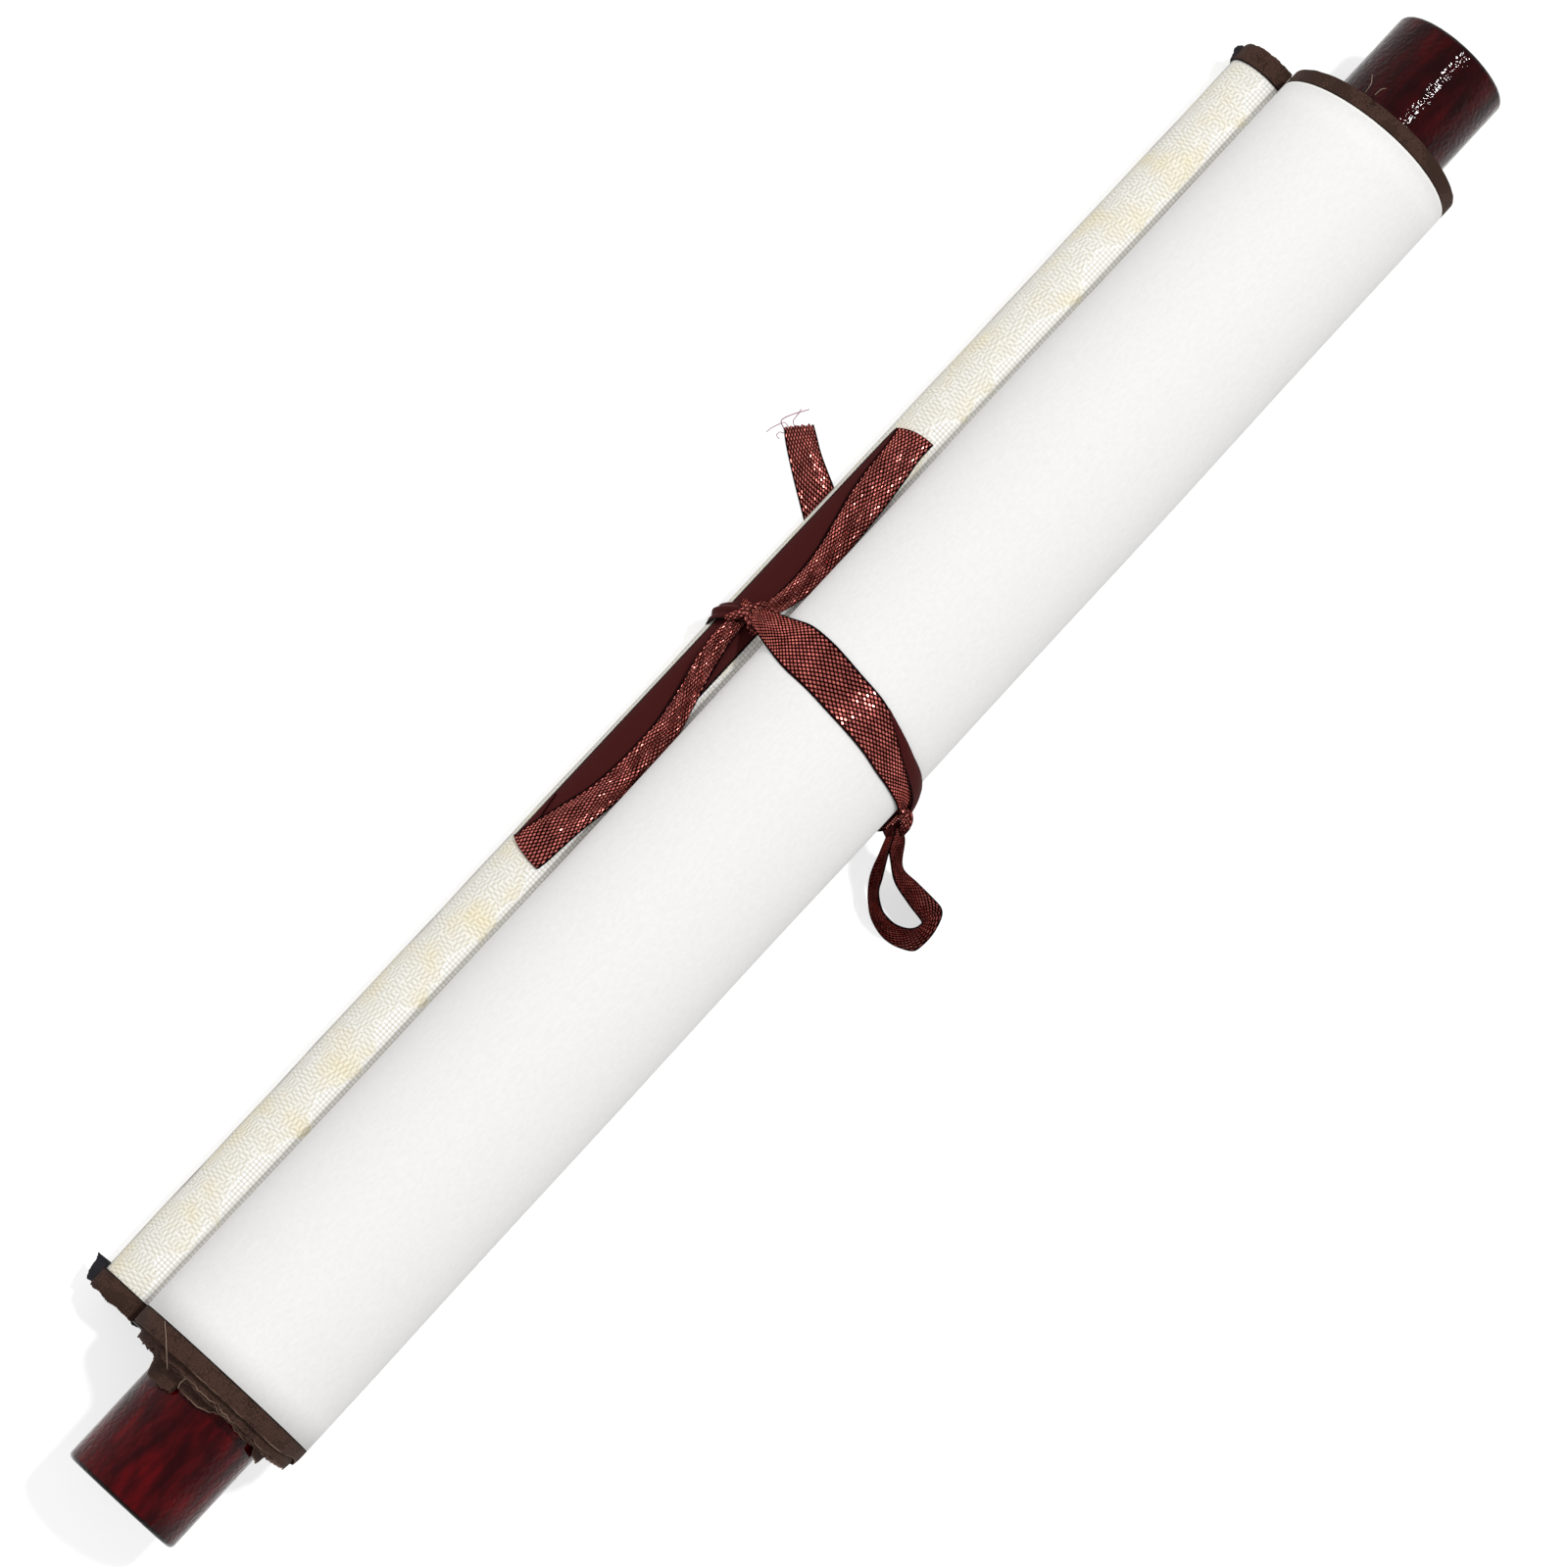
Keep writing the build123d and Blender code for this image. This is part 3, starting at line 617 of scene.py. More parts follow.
# painted shade: the slip loop, beyond LOOP_FROM on the open side, is darker
out_y = add(tree, "SeparateXYZ", {0: add(tree, "TexCoord", out="Object")}, out="Y")
painted_loop_shade = add(tree, "MapRange", {"Value": out_y, "From Min": (START[1] + LOOP_FROM) * MM,
                                 "From Max": (START[1] + LOOP_TO) * MM, "To Min": 0.36, "To Max": 1.0})
painted_light_and_shade = add(tree, "Math", {0: painted_light_and_shade, 1: painted_loop_shade}, operation="MULTIPLY")
colour = add(tree, "VectorMath", {0: colour, "Scale": painted_light_and_shade}, operation="SCALE")
colour = selvedge(tree, side, colour, "#150a0d")
float_bump = add(tree, "Bump", {"Height": height, "Strength": 1.0, "Distance": 0.00009})
shine = add(tree, "BsdfPrincipled", {"Base Color": colour, "Roughness": 0.22, "Metallic": 0.50,
                                     "Specular IOR Level": 0.0, "Specular Tint": linear("#7a3634"),
                                     "Normal": float_bump})
add(tree, "OutputMaterial", {"Surface": shine})

# %% Satin ribbon, back and threads
# The back is matte, with the fine weft just showing. Cut threads are pulled loose at
# the tail's end and look pinker, because light passes through a single filament.
satin_back, tree, place = new_material("maroon_satin_back", follows_sheet=True)
side, run = (add(tree, "SeparateXYZ", {0: place}, out=axis) for axis in "XY")
weft = waves(tree, run, 0.45)
colour = add(tree, "ValToRGB", {"Fac": weft}, stops=[(0.0, "#3c1414"), (1.0, "#4a1b1a")])
colour = selvedge(tree, side, colour, "#100709")
weft_bump = add(tree, "Bump", {"Height": weft, "Strength": 0.4, "Distance": 0.00003})
flat = add(tree, "BsdfPrincipled", {"Base Color": colour, "Roughness": 0.58, "Specular IOR Level": 0.04,
                                    "Normal": weft_bump})
add(tree, "OutputMaterial", {"Surface": flat})

filament, tree, place = new_material("pink_polyester_filament")
fine = add(tree, "BsdfPrincipled", {"Base Color": linear("#94506a"), "Roughness": 0.4})
add(tree, "OutputMaterial", {"Surface": fine})

bast, tree, place = new_material("pale_bast_fibre")
fine = add(tree, "BsdfPrincipled", {"Base Color": linear("#a8927c"), "Roughness": 0.5})
add(tree, "OutputMaterial", {"Surface": fine})
print(len(bpy.data.materials), "finishes")

# %% [markdown]
# ## The knobs and the two rods
# These are turned wood, so the CAD solids already have their true form. They only get
# their finish.

# %% Finish for the turned wood
wood = {"near_knob": lacquer, "far_knob": lacquer, "roller_rod": pine, "top_stave": pine}
for name, finish in wood.items():
    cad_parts[name].data.materials.clear()
    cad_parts[name].data.materials.append(finish)

# %% [markdown]
# ## The wound sheet
# A wound sheet is one surface: the radius grows by one pitch each turn, then the outer
# turn lies looser and leaves the roll on a straight run to the stave. The white part
# and the dark strips that bind its edges are three bands of that same surface.

# %% Winding
# CORE, TIGHT and LOOSE are the radii inside the first turn, the last tight one and the
# loose one, whose centre lies LOOSE_Y towards the stave. STEP is in degrees.
CORE = 13.05
PITCH = 0.865
PAPER = 0.62
HALF_TURNS = 16
ALL_TURNS = 180 * HALF_TURNS
TIGHT = CORE + HALF_TURNS * PITCH / 2
LOOSE_Y = ROLL_TOP - PAPER - TIGHT
LOOSE = ROLL_TOP - PAPER
STEP = 4.0
# The straight run leaves the roll at the angle LEAVE, and meets the stave at the
# opposite angle.
reach_y, reach_z = STAVE_Y - LOOSE_Y, STAVE_Z - ROLLER_Z
touching = (LOOSE + BROCADE_RADIUS) / np.hypot(reach_y, reach_z)
LEAVE = np.degrees(np.arctan2(reach_z, reach_y) + np.arccos(touching))


def winding():
    """Middle line of the wound sheet in cross-section. The angle runs clockwise from
    the open side; the radius is the core plus half a pitch for each half turn. Then
    comes an arc about the loose turn's centre, and a line to the stave. Returns the
    angle, the radius about the roller and the points (y, z)."""
    tight = np.arange(0, ALL_TURNS, STEP)
    radius = CORE + PAPER / 2 + tight / 180 * PITCH / 2
    a = np.radians(180 - tight)
    inner = np.stack([radius * np.cos(a), ROLLER_Z + radius * np.sin(a)], -1)
    b = np.radians(np.linspace(180, LEAVE, int((180 - LEAVE) / STEP * 2)))
    loose = LOOSE + PAPER / 2
    outer = np.stack([LOOSE_Y + loose * np.cos(b), ROLLER_Z + loose * np.sin(b)], -1)
    on_stave = BROCADE_RADIUS - PAPER / 2
    c = np.radians(LEAVE + 180)
    stop = np.array([STAVE_Y + on_stave * np.cos(c), STAVE_Z + on_stave * np.sin(c)])
    line = outer[-1] + (stop - outer[-1]) * np.linspace(0, 1, 6)[1:, None]
    path = np.concatenate([inner, outer, line])
    angle = np.concatenate([180 - tight, np.degrees(b) - ALL_TURNS, np.full(len(line), LEAVE - ALL_TURNS)])
    return angle, np.hypot(path[:, 0], path[:, 1] - ROLLER_Z), path


angle, radius, path = winding()
run_mm = np.concatenate([[0], np.cumsum(np.hypot(*np.diff(path, axis=0).T))])
print("wound length", round(run_mm[-1]), "mm of sheet on the roller")


def band(near, far, count, line, wave=0.10):
    """The part of the winding between two lines across it. near and far give x for
    each point of the line (angle, radius, y, z, run). The paper swells and sinks a
    little with the angle and along the roller, by the same amount on every turn."""
    angle, radius, path = line[:, 0], line[:, 1], line[:, 2:4]
    share = np.linspace(0, 1, count)[None, :]
    x = near[:, None] + (far - near)[:, None] * share
    swell = wave * np.sin(x / 37 + 2 * np.radians(angle)[:, None]) + wave * 0.6 * np.sin(x / 13 + 1.3)
    swell *= np.clip((radius - CORE) / (TIGHT - CORE), 0, 1)[:, None]
    swell *= np.clip(path[:, 1] / 3, 0, 1)[:, None]
    out = path - np.array([0, ROLLER_Z])
    out /= np.linalg.norm(out, axis=1)[:, None]
    return points_from(x, path[:, :1] + out[:, :1] * swell, path[:, 1:] + out[:, 1:] * swell)


def sheet_map(points, joint, lip):
    """Map of a band: how far each point lies from the joint, and from the outer lip."""
    return np.abs(points[..., :1] - np.stack([joint, lip], -1)[:, None])


coarse = np.column_stack([angle, radius, path, run_mm])
ROWS_EACH = 3
at_row = np.arange(ROWS_EACH * (len(coarse) - 1) + 1) / ROWS_EACH
fine = np.stack([np.interp(at_row, np.arange(len(coarse)), column) for column in coarse.T], -1)

# %% Edge lines of the white paper and of the bindings
angle, radius, run_mm = fine[:, 0], fine[:, 1], fine[:, 4]
telescope = np.clip((TIGHT - radius) / (TIGHT - KNOB_RADIUS - 0.9), 0, 1)
loosened = np.clip((radius - TIGHT) / 1.2, 0, 1)
skew = np.cos(np.radians(angle)) * (0.4 + 0.6 * loosened)
near_white = -173.6 - 2.1 * telescope
far_white = 174.2 - 0.95 * skew - 2.1 * telescope
far_lip = far_white + 3.6 + 0.12 * ragged(run_mm, 2.1, 3)

loose_paper = 0.35 * ragged(run_mm, 1.3, 5) + 0.18 * ragged(run_mm, 0.45, 6)
turn_number = (180 - angle) / 360
last_turn = angle < 300 - ALL_TURNS
near_lip = -179.2 - 0.16 * (ROLL_TOP - radius) + loose_paper + 0.30 * ragged(turn_number, 1.0, 7)
outer_lip = -177.75 + 0.2 * loose_paper + 1.2 * np.exp(-((np.mod(angle, 360) - 165) / 16) ** 2)
near_lip = np.where(last_turn, outer_lip, near_lip)
# the turns that are no wider than the knob end against its inner face
behind_knob = radius - PAPER / 2 < KNOB_RADIUS + 0.15
near_lip = np.where(behind_knob, np.maximum(near_lip, -179.55), near_lip)

# %% Torn tongues over the near knob
# The first turn that clears the knob runs on in torn strips, as (angle, x) lines.
tongues = np.array([
    (4, -180.4), (12, -180.9), (17, -182.2), (24, -183.4), (34, -183.9), (44, -184.3), (52, -184.0),
    (60, -183.6), (61.5, -181.2), (63, -182.0), (76, -182.1), (88, -182.0), (95, -180.9), (104, -179.9),
    (117, -180.3), (126, -180.7), (142, -180.2), (150, -181.9), (166, -182.3), (172, -180.4),
    (184, -180.0)])
tongue_angle, tongue_out = tongues.T
round_roll = np.mod(angle, 360)
first_clear = ~behind_knob & (radius < KNOB_RADIUS + 1.45)
first_clear &= (round_roll >= tongue_angle[0]) & (round_roll <= tongue_angle[-1])
tongue_x = np.interp(round_roll, tongue_angle, tongue_out) + 0.22 * ragged(run_mm, 0.6, 9)
near_lip = np.where(first_clear, np.minimum(near_lip, tongue_x), near_lip)

# %% Meshes of the sheet and its bindings
near_points = band(near_lip, near_white, 9, fine)
near_map = sheet_map(near_points, near_white, near_lip)
torn_thin = PAPER * (0.4 + 0.6 * np.clip(near_map[..., 1:] / 1.5, 0, 1))
near_shell = shell(near_points, torn_thin, near_map)
near_binding = add_piece("near_binding", [near_shell], [brown, brown], sharp=True)
near_white, far_white, far_lip = (line[::ROWS_EACH] for line in (near_white, far_white, far_lip))
white_points = band(near_white, far_white, 54, coarse)
white_shell = shell(white_points, PAPER, sheet_map(white_points, far_white, near_white))
white = add_piece("wound_sheet", [white_shell], [paper, paper])
far_points = band(far_white, far_lip, 5, coarse)
far_shell = shell(far_points, PAPER, sheet_map(far_points, far_white, far_lip + 1))
far_binding = add_piece("far_binding", [far_shell], [brown, brown], sharp=True)

# %% Loose fibres at the bindings
# Torn paper sheds long bast fibres. A few lie across the near binding, and a few stand
# up behind the far one.
near_fibres = [
    drawn_fibre([(-174.0, 17.8, 34.8), (-176.2, 15.4, 37.4), (-178.2, 13.4, 38.6), (-180.6, 10.9, 36.6)],
                0.055),
    drawn_fibre([(-181.9, 6.9, 35.8), (-180.8, 7.2, 36.8), (-179.4, 7.0, 37.8)], 0.065)]
far_fibres = [
    drawn_fibre([(178.6, 8.9, 38.0), (180.6, 9.2, 38.6), (181.9, 9.7, 37.2), (182.9, 10.4, 36.9)], 0.05),
    drawn_fibre([(179.6, 7.1, 38.2), (181.4, 6.9, 38.4), (182.6, 6.3, 37.2)], 0.05)]
loose = add_piece("loose_bast_fibres", near_fibres + far_fibres, [bast])
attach(loose, "root")

# %% What each piece stands for
sheet_pieces = ((white, "scroll_sheet"), (near_binding, "near_edge_binding"),
                (far_binding, "far_edge_binding"))
for piece, node in sheet_pieces:
    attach(piece, "root")
    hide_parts(node)

# %% [markdown]
# ## The stave's brocade
# The brocade is the sheet's own end, wrapped round the dowel and glued to itself, so
# it is a thin C in section with its opening underneath.

# %% Brocade wrap
SEAM = 24.0
wrap_angle = np.linspace(LEAVE + 180, LEAVE + 540 - SEAM, 120)
wrap_x = np.linspace(-HALF_WIDTH, HALF_WIDTH, 180)
a, x = np.meshgrid(wrap_angle, wrap_x, indexing="ij")
bumps = 0.05 * np.sin(x / 9 + np.radians(a)) + 0.04 * np.sin(x / 3.7 + 2 * np.radians(a))
wrap_points = about((STAVE_Y, STAVE_Z), x, a, BROCADE_RADIUS - PAPER / 2 + bumps * 0.8)
wrap_uv = np.stack([x + HALF_WIDTH, np.radians(a) * BROCADE_RADIUS], -1)
wrap = add_piece("stave_wrap", [shell(wrap_points, PAPER, wrap_uv)], [brocade, brocade])
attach(wrap, "root")
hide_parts("stave_brocade")

# %% [markdown]
# ## Paper caps on the stave
# The same dark paper is wrapped round each end of the stave and pinched over the cut
# end. It is cut by hand, so its outer edge is ragged, and a corner sticks out.

# %% Stave caps
STAVE = (STAVE_Y, STAVE_Z)
CAP_PAPER = 0.30
CAP_RADIUS = BROCADE_RADIUS + 0.05 + CAP_PAPER / 2


def cap_strip(inner_x, outer_x, tear, seed):
    """Paper round the stave between two lines across it: x runs from an even inner
    edge to a ragged outer one, and the angle goes round, open where the sheet comes
    in. Past the stave's cut end the paper leans inwards."""
    a = np.linspace(LEAVE + 196, LEAVE + 500, 150)
    torn_by = tear * (0.30 * ragged(a, 7.0, seed) + 0.16 * ragged(a, 2.2, seed + 1))
    share = np.linspace(0, 1, 12)[None, :]
    sign = np.sign(outer_x)
    x = inner_x + (outer_x + sign * torn_by[:, None] - inner_x) * share
    past = np.clip(np.abs(x) - HALF_WIDTH - 0.05, 0, 9)
    lean = CAP_RADIUS + 0.05 * ragged(a, 9.0, seed + 2)[:, None] - 0.35 * past
    points = about(STAVE, x, a[:, None], lean)
    uv = np.stack([np.abs(x - inner_x), np.radians(a)[:, None] * CAP_RADIUS + 0 * x], -1)
    turn_over = slice(None, None, int(sign))
    return shell(points[:, turn_over], CAP_PAPER, uv[:, turn_over])


def end_disc(x, seed):
    """Pinched paper over the stave's end: rings from the middle to the rim, rising and
    falling in radial folds that fade towards the middle."""
    r, a = np.meshgrid(np.linspace(0.4, CAP_RADIUS - 0.1, 14), np.linspace(0, 360, 73), indexing="ij")
    fold = 0.16 * (r / CAP_RADIUS) ** 2 * ragged(a % 360, 24.0, seed) * np.sin(np.radians(a / 2)) ** 0.2
    points = about(STAVE, x + fold, a, r)
    if x > 0:
        points = points[:, ::-1]
    return shell(points, CAP_PAPER, np.stack([r + 1, np.radians(a) * r + 1], -1))


def flap(corners, z, droop, seed):
    """Loose corner of paper, underside up: a strip between two lines of (x, y) points,
    drooping with its distance from the stave."""
    outer, inner = (smooth([(i / (len(c) - 1), *q) for i, q in enumerate(c)], np.linspace(0, 1, 24))
                    for c in corners)
    share = np.linspace(0, 1, 8)[None, :, None]
    flat = outer[:, None] + (inner - outer)[:, None] * share
    flat += 0.08 * ragged(np.arange(flat.size).reshape(flat.shape), 1.0, seed) * (share < 0.2)
    away = np.clip(flat[..., 1] - STAVE_Y - BROCADE_RADIUS, -1, 9)
    turned = np.dstack([flat, z - droop * away + 0.15 * np.sin(flat[..., 0] * 2)])
    vertices, quads, maps, slots = shell(turned, CAP_PAPER, np.abs(flat))
    return vertices, quads, maps, np.ones_like(slots)


near_corner = [[(-172.4, 37.6), (-173.8, 37.0), (-175.8, 36.7), (-177.9, 35.8)],
               [(-172.2, 34.2), (-173.4, 34.0), (-175.4, 33.9), (-177.4, 33.6)]]
far_corner = [[(173.2, 34.9), (174.6, 35.3), (176.0, 35.9), (177.4, 35.2)],
              [(173.2, 33.6), (174.6, 33.6), (176.0, 33.6), (177.2, 33.2)]]
near_cap_shells = [cap_strip(-HALF_WIDTH + 3.8, -178.2, tear=1.0, seed=21),
                   end_disc(-HALF_WIDTH - 0.25, seed=23),
                   flap(near_corner, STAVE_Z + 1.2, droop=0.35, seed=25)]
far_cap_shells = [cap_strip(HALF_WIDTH - 4.1, 178.1, tear=0.5, seed=31),
                  end_disc(HALF_WIDTH + 0.25, seed=33),
                  flap(far_corner, STAVE_Z + 0.6, droop=0.3, seed=35)]
near_cap = add_piece("near_stave_paper", near_cap_shells, [brown, underside], sharp=True)
far_cap = add_piece("far_stave_paper", far_cap_shells, [brown, underside], sharp=True)
for piece, node in ((near_cap, "near_stave_cap"), (far_cap, "far_stave_cap")):
    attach(piece, "root")
    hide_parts(node)

# %% [markdown]
# ## The hanging ribbon
# One flat loop of satin lies along the stave. Its lower run is glued down with the
# matte back outwards. At each end it turns over on itself, so the free run above shows
# the glossy face. The tie gathers that run at its knot, which throws it into long folds.

# %% Ribbon strip builder
SATIN = 0.28
RIBBON_IN = BROCADE_RADIUS + 0.05


def ribbon(points):
    """Shell of a ribbon from a grid of points, whose columns run from one selvedge to
    the other. The map is the true width across and the distance run along."""
    across = np.linspace(0, RIBBON, points.shape[1])
    run = lengths(points).mean(axis=1)
    return shell(points, SATIN, np.stack(np.broadcast_arrays(across[None, :], run[:, None]), -1))


def along_stave(stations, count, columns=33):
    """A run along the stave from stations (t, x, angle of one edge, angle of the other,
    radius, arch, fold depth, fold phase). Across the ribbon the angle goes from edge to
    edge, and the radius rises by the arch (a half sine) and by folds: a sine of 1.6
    waves, which fades at the selvedges and drifts with its phase, and finer slanting
    crumples a third as deep."""
    t = np.linspace(stations[0][0], stations[-1][0], count)
    x, a0, a1, r, arch, depth, phase = smooth(stations, t).T[..., None]
    u = np.linspace(0, 1, columns)[None, :]
    folds = depth * np.sin(2 * np.pi * (1.6 * u + phase)) * np.sin(np.pi * u) ** 0.4
    folds += 0.3 * depth * np.sin(2 * np.pi * (2.9 * u + t[:, None] / 7)) * np.sin(np.pi * u)
    return about(STAVE, x, a1 + (a0 - a1) * (1 - u), r + arch * np.sin(np.pi * u) + folds)[:, ::-1]


LOW = RIBBON_IN + SATIN / 2
TOP = LOW + 0.45
hanging_stations = [
    # free run from the knot to the near fold: t, x, edge angles, radius, arch, folds
    (0, 12.0, 80, 60, TOP + 0.5, 0.2, 0.40, 0.89), (5, 6.7, 83, 58, TOP + 0.9, 0.3, 0.70, 0.73),
    (12, -1.6, 94, 64, TOP + 0.9, 0.3, 0.75, 0.50), (19, -8.5, 105, 74, TOP + 0.8, 0.3, 0.75, 0.28),
    (27, -16.5, 119, 82, TOP + 0.7, 0.2, 0.70, 0.03), (36, -26.0, 123, 83, TOP + 0.7, 0.2, 0.65, -0.26),
    (45, -35.0, 117, 76, TOP + 0.6, 0.2, 0.55, -0.55), (52, -42.0, 110, 62, TOP + 0.4, 0.2, 0.42, -0.77),
    (58, -48.0, 106, 49, TOP + 0.3, 0.2, 0.28, -0.90), (62.5, -52.6, 104, 40, TOP + 0.1, 0.2, 0.14, -0.95),
    (64.6, -54.5, 102, 37, TOP - 0.05, 0.1, 0.03, -0.95),
    # over the near fold and back under
    (65.3, -55.1, 101, 31, TOP - 0.22, 0.0, 0.0, -0.95), (66.0, -54.5, 101, 31, LOW, 0.0, 0.0, -0.95),
    # glued run to the far fold
    (75, -46.0, 103, 31, LOW, 0.0, 0.02, 0.0), (100, -21.0, 104, 31, LOW, 0.0, 0.02, 0.0),
    (127, 6.0, 104, 31, LOW, 0.0, 0.02, 0.0), (160, 39.0, 104, 31, LOW, 0.0, 0.02, 0.0),
    (186, 65.6, 103, 33, LOW, 0.0, 0.0, 0.09), (186.8, 66.4, 103, 36, TOP - 0.22, 0.0, 0.0, 0.09),
    # free run from the far fold back to the knot
    (187.6, 65.7, 102, 41, TOP - 0.05, 0.1, 0.03, 0.09), (190, 63.2, 102, 46, TOP + 0.1, 0.2, 0.14, 0.09),
    (197, 56.5, 107, 51, TOP + 0.3, 0.2, 0.34, 0.09), (205, 48.6, 112, 59, TOP + 0.6, 0.2, 0.55, 0.09),
    (214, 40.0, 115, 73, TOP + 0.8, 0.2, 0.70, 0.07), (222, 32.5, 118, 83, TOP + 0.9, 0.2, 0.75, 0.05),
    (229, 25.3, 115, 86, TOP + 1.0, 0.3, 0.75, 0.02), (236, 18.5, 104, 82, TOP + 0.9, 0.3, 0.60, 0.0),
    (240, 15.0, 96, 76, TOP + 0.6, 0.2, 0.40, 0.0)]
HANGING_ROWS = 620
hanging_points = along_stave(hanging_stations, HANGING_ROWS)
# both folds are crooked: the edge on the outer side turns back 2 mm sooner
near_fold_at, far_fold_at = 65.3, 186.8
t = np.linspace(0, hanging_stations[-1][0], HANGING_ROWS)[:, None]
outer_side = np.linspace(1, 0, hanging_points.shape[1])[None, :] ** 2
sooner = 2.4 * np.exp(-((t - near_fold_at) / 5) ** 2) - 2.0 * np.exp(-((t - far_fold_at) / 5) ** 2)
hanging_points[..., 0] += outer_side * sooner
# a narrow strip beside the near fold, where the selvedge is turned over
turned_edge = along_stave([(0, -52.4, 58, 37, TOP, 0.1, 0.0, 0.0), (5, -47.5, 51, 37, TOP, 0.1, 0.0, 0.0),
                           (12, -40.6, 39, 37, LOW + 0.3, 0.0, 0.0, 0.0)], 60, 9)
hanging = add_piece("hanging_satin_ribbon", [ribbon(hanging_points), ribbon(turned_edge)],
                    [satin, satin_back])
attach(hanging, "root")
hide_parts("hanging_ribbon")

# %% [markdown]
# ## The tie ribbon
# A second ribbon is knotted round the free run. From the knot it goes over the roll,
# narrows into a slip knot on the open side, hangs out in one loop, and runs under the
# roll and the stave to a frayed tail. Each stretch is a strip between two edges.

# %% Band over the roll
ROLL = (LOOSE_Y, ROLLER_Z)
OVER = LOOSE + PAPER + 0.08 + SATIN / 2
knot_at = np.array([29.3, 17.4])
to_knot = knot_at - ROLL
touch = np.degrees(np.arctan2(to_knot[1], to_knot[0]) + np.arccos(OVER / np.hypot(*to_knot)))
TIP = 181.0


def over_roll(share):
    """Path of the band in cross-section: a straight stretch from the knot to where it
    touches the roll, then the arc over it. share 0 is the knot, 1 the slip knot.
    Returns the points (y, z) and the length of the whole path."""
    straight_mm = np.sqrt(np.hypot(*to_knot) ** 2 - OVER ** 2)
    total = straight_mm + np.radians(TIP - touch) * OVER
    s = np.asarray(share) * total
    a = np.radians(touch + np.degrees(np.maximum(s - straight_mm, 0) / OVER))
    on_arc = np.stack([ROLL[0] + OVER * np.cos(a), ROLL[1] + OVER * np.sin(a)], -1)
    return knot_at + (on_arc - knot_at) * np.clip(s / straight_mm, 0, 1)[..., None], total


def station_share(y):
    """Share of the band's path at a distance y from the roller's axis, by looking it
    up along the path."""
    share = np.linspace(0, 1, 2000)
    where, _ = over_roll(share)
    return float(np.interp(-y, -where[:, 0], share))


def roll_y(a):
    """Distance from the roller's axis of the band's point at an angle on the roll."""
    return ROLL[0] + OVER * np.cos(np.radians(a))


share = np.linspace(0, 1, 240)
where, band_total = over_roll(share)


def edge_line(by_y, by_angle):
    """x of an edge at each share of the band's path, from stations (y, x) beside the
    knot and stations (angle, x) on the roll."""
    stations = by_y + [(roll_y(a), x) for a, x in by_angle]
    return smooth([(station_share(y), x) for y, x in stations], share)[:, 0]


near_x = edge_line([(29.3, 12.4), (27.5, 11.8), (25.2, 10.7), (21.3, 8.8)],
                   [(47, 6.8), (68, 6.0), (84, 5.3), (97, 4.9), (113, 4.4), (128, 3.7), (138, 3.6),
                    (160, 3.4), (180, 3.3)])
far_x = edge_line([(29.3, 15.0), (27.5, 16.0), (25.2, 16.4), (21.5, 17.0)],
                  [(39, 17.6), (58, 17.2), (83, 15.8), (104, 14.8), (113, 13.9), (136, 11.9),
                   (155, 10.7), (166, 9.3), (174, 7.6), (180, 5.2)])


def on_band(x0, x1, raise_by, columns=33):
    """Strip on the band's path between two lines of x, raised off the roll by a
    height that may differ across it."""
    u = np.linspace(0, 1, columns)[None, :]
    away = where - ROLL
    away /= np.linalg.norm(away, axis=1)[:, None]
    lift = raise_by(u, share[:, None])
    x = x0[:, None] + (x1 - x0)[:, None] * u
    return points_from(x, where[:, :1] + away[:, :1] * lift, where[:, 1:] + away[:, 1:] * lift)


def band_lift(u, s):
    """Rounded shoulders near the knot, flat on the roll, pleats near the slip knot."""
    start = np.clip(1 - s / 0.30, 0, 1)
    end = np.clip((s - 0.78) / 0.22, 0, 1)
    pleats = 0.45 * end ** 2 * (1 + np.sin(2 * np.pi * (2.2 * u + 0.1)))
    crown = start ** 1.2 * 1.5 * np.sin(np.pi * u)
    gathers = 0.20 * start * np.sin(2 * np.pi * (3 * u + 0.3)) * np.sin(np.pi * u)
    return 0.12 * np.sin(np.pi * u) + crown + gathers + pleats + 0.8 * end * u ** 2


band_points = on_band(near_x, far_x, band_lift)

# the far edge is folded over on the lower part: a narrow strip with the back outwards
from_lap = station_share(roll_y(106))
keep = share >= from_lap
lap_x = edge_line([], [(107, 14.4), (114, 12.9), (122, 11.5), (134, 9.5), (146, 8.3), (156, 7.5),
                       (168, 6.5), (180, 4.6)])


def lap_lift(u, s):
    """The fold rises from the band's far edge and grows along it."""
    grown = np.clip((s - from_lap) / 0.12, 0, 1)
    return band_lift(1.0, s) + grown * (0.45 + 0.35 * np.sin(np.pi * u)) + 0.05


lap_points = on_band(lap_x, far_x + 0.06, lap_lift, 11)[keep][:, ::-1]
print("band", round(band_total, 1), "mm from knot to slip knot")

# %% Knot on the stave
# The ribbon comes up round the stave's outer side, crosses over the free run in a
# pinched strip, and is drawn through a tight collar from which the band leaves.
# ACROSS is the crossing's radius about the stave.
ACROSS = TOP + 1.9


def on_stave(stations, count, columns, fold_depth, fold_count, lean=0.0):
    """A pinched strip round the stave from stations (angle, x of one edge, x of the
    other, radius), with rounded shoulders and lengthwise folds."""
    t = np.linspace(stations[0][0], stations[-1][0], count)
    x0, x1, r = smooth(stations, t).T[..., None]
    u = np.linspace(0, 1, columns)[None, :]
    crown = np.sin(np.pi * u) ** 0.6
    folds = fold_depth * np.sin(2 * np.pi * (fold_count * u + 0.2)) * np.sin(np.pi * u)
    return about(STAVE, x0 + (x1 - x0) * u, t[:, None] + lean * (u - 0.5), r + 0.5 * (crown - 1) + folds)


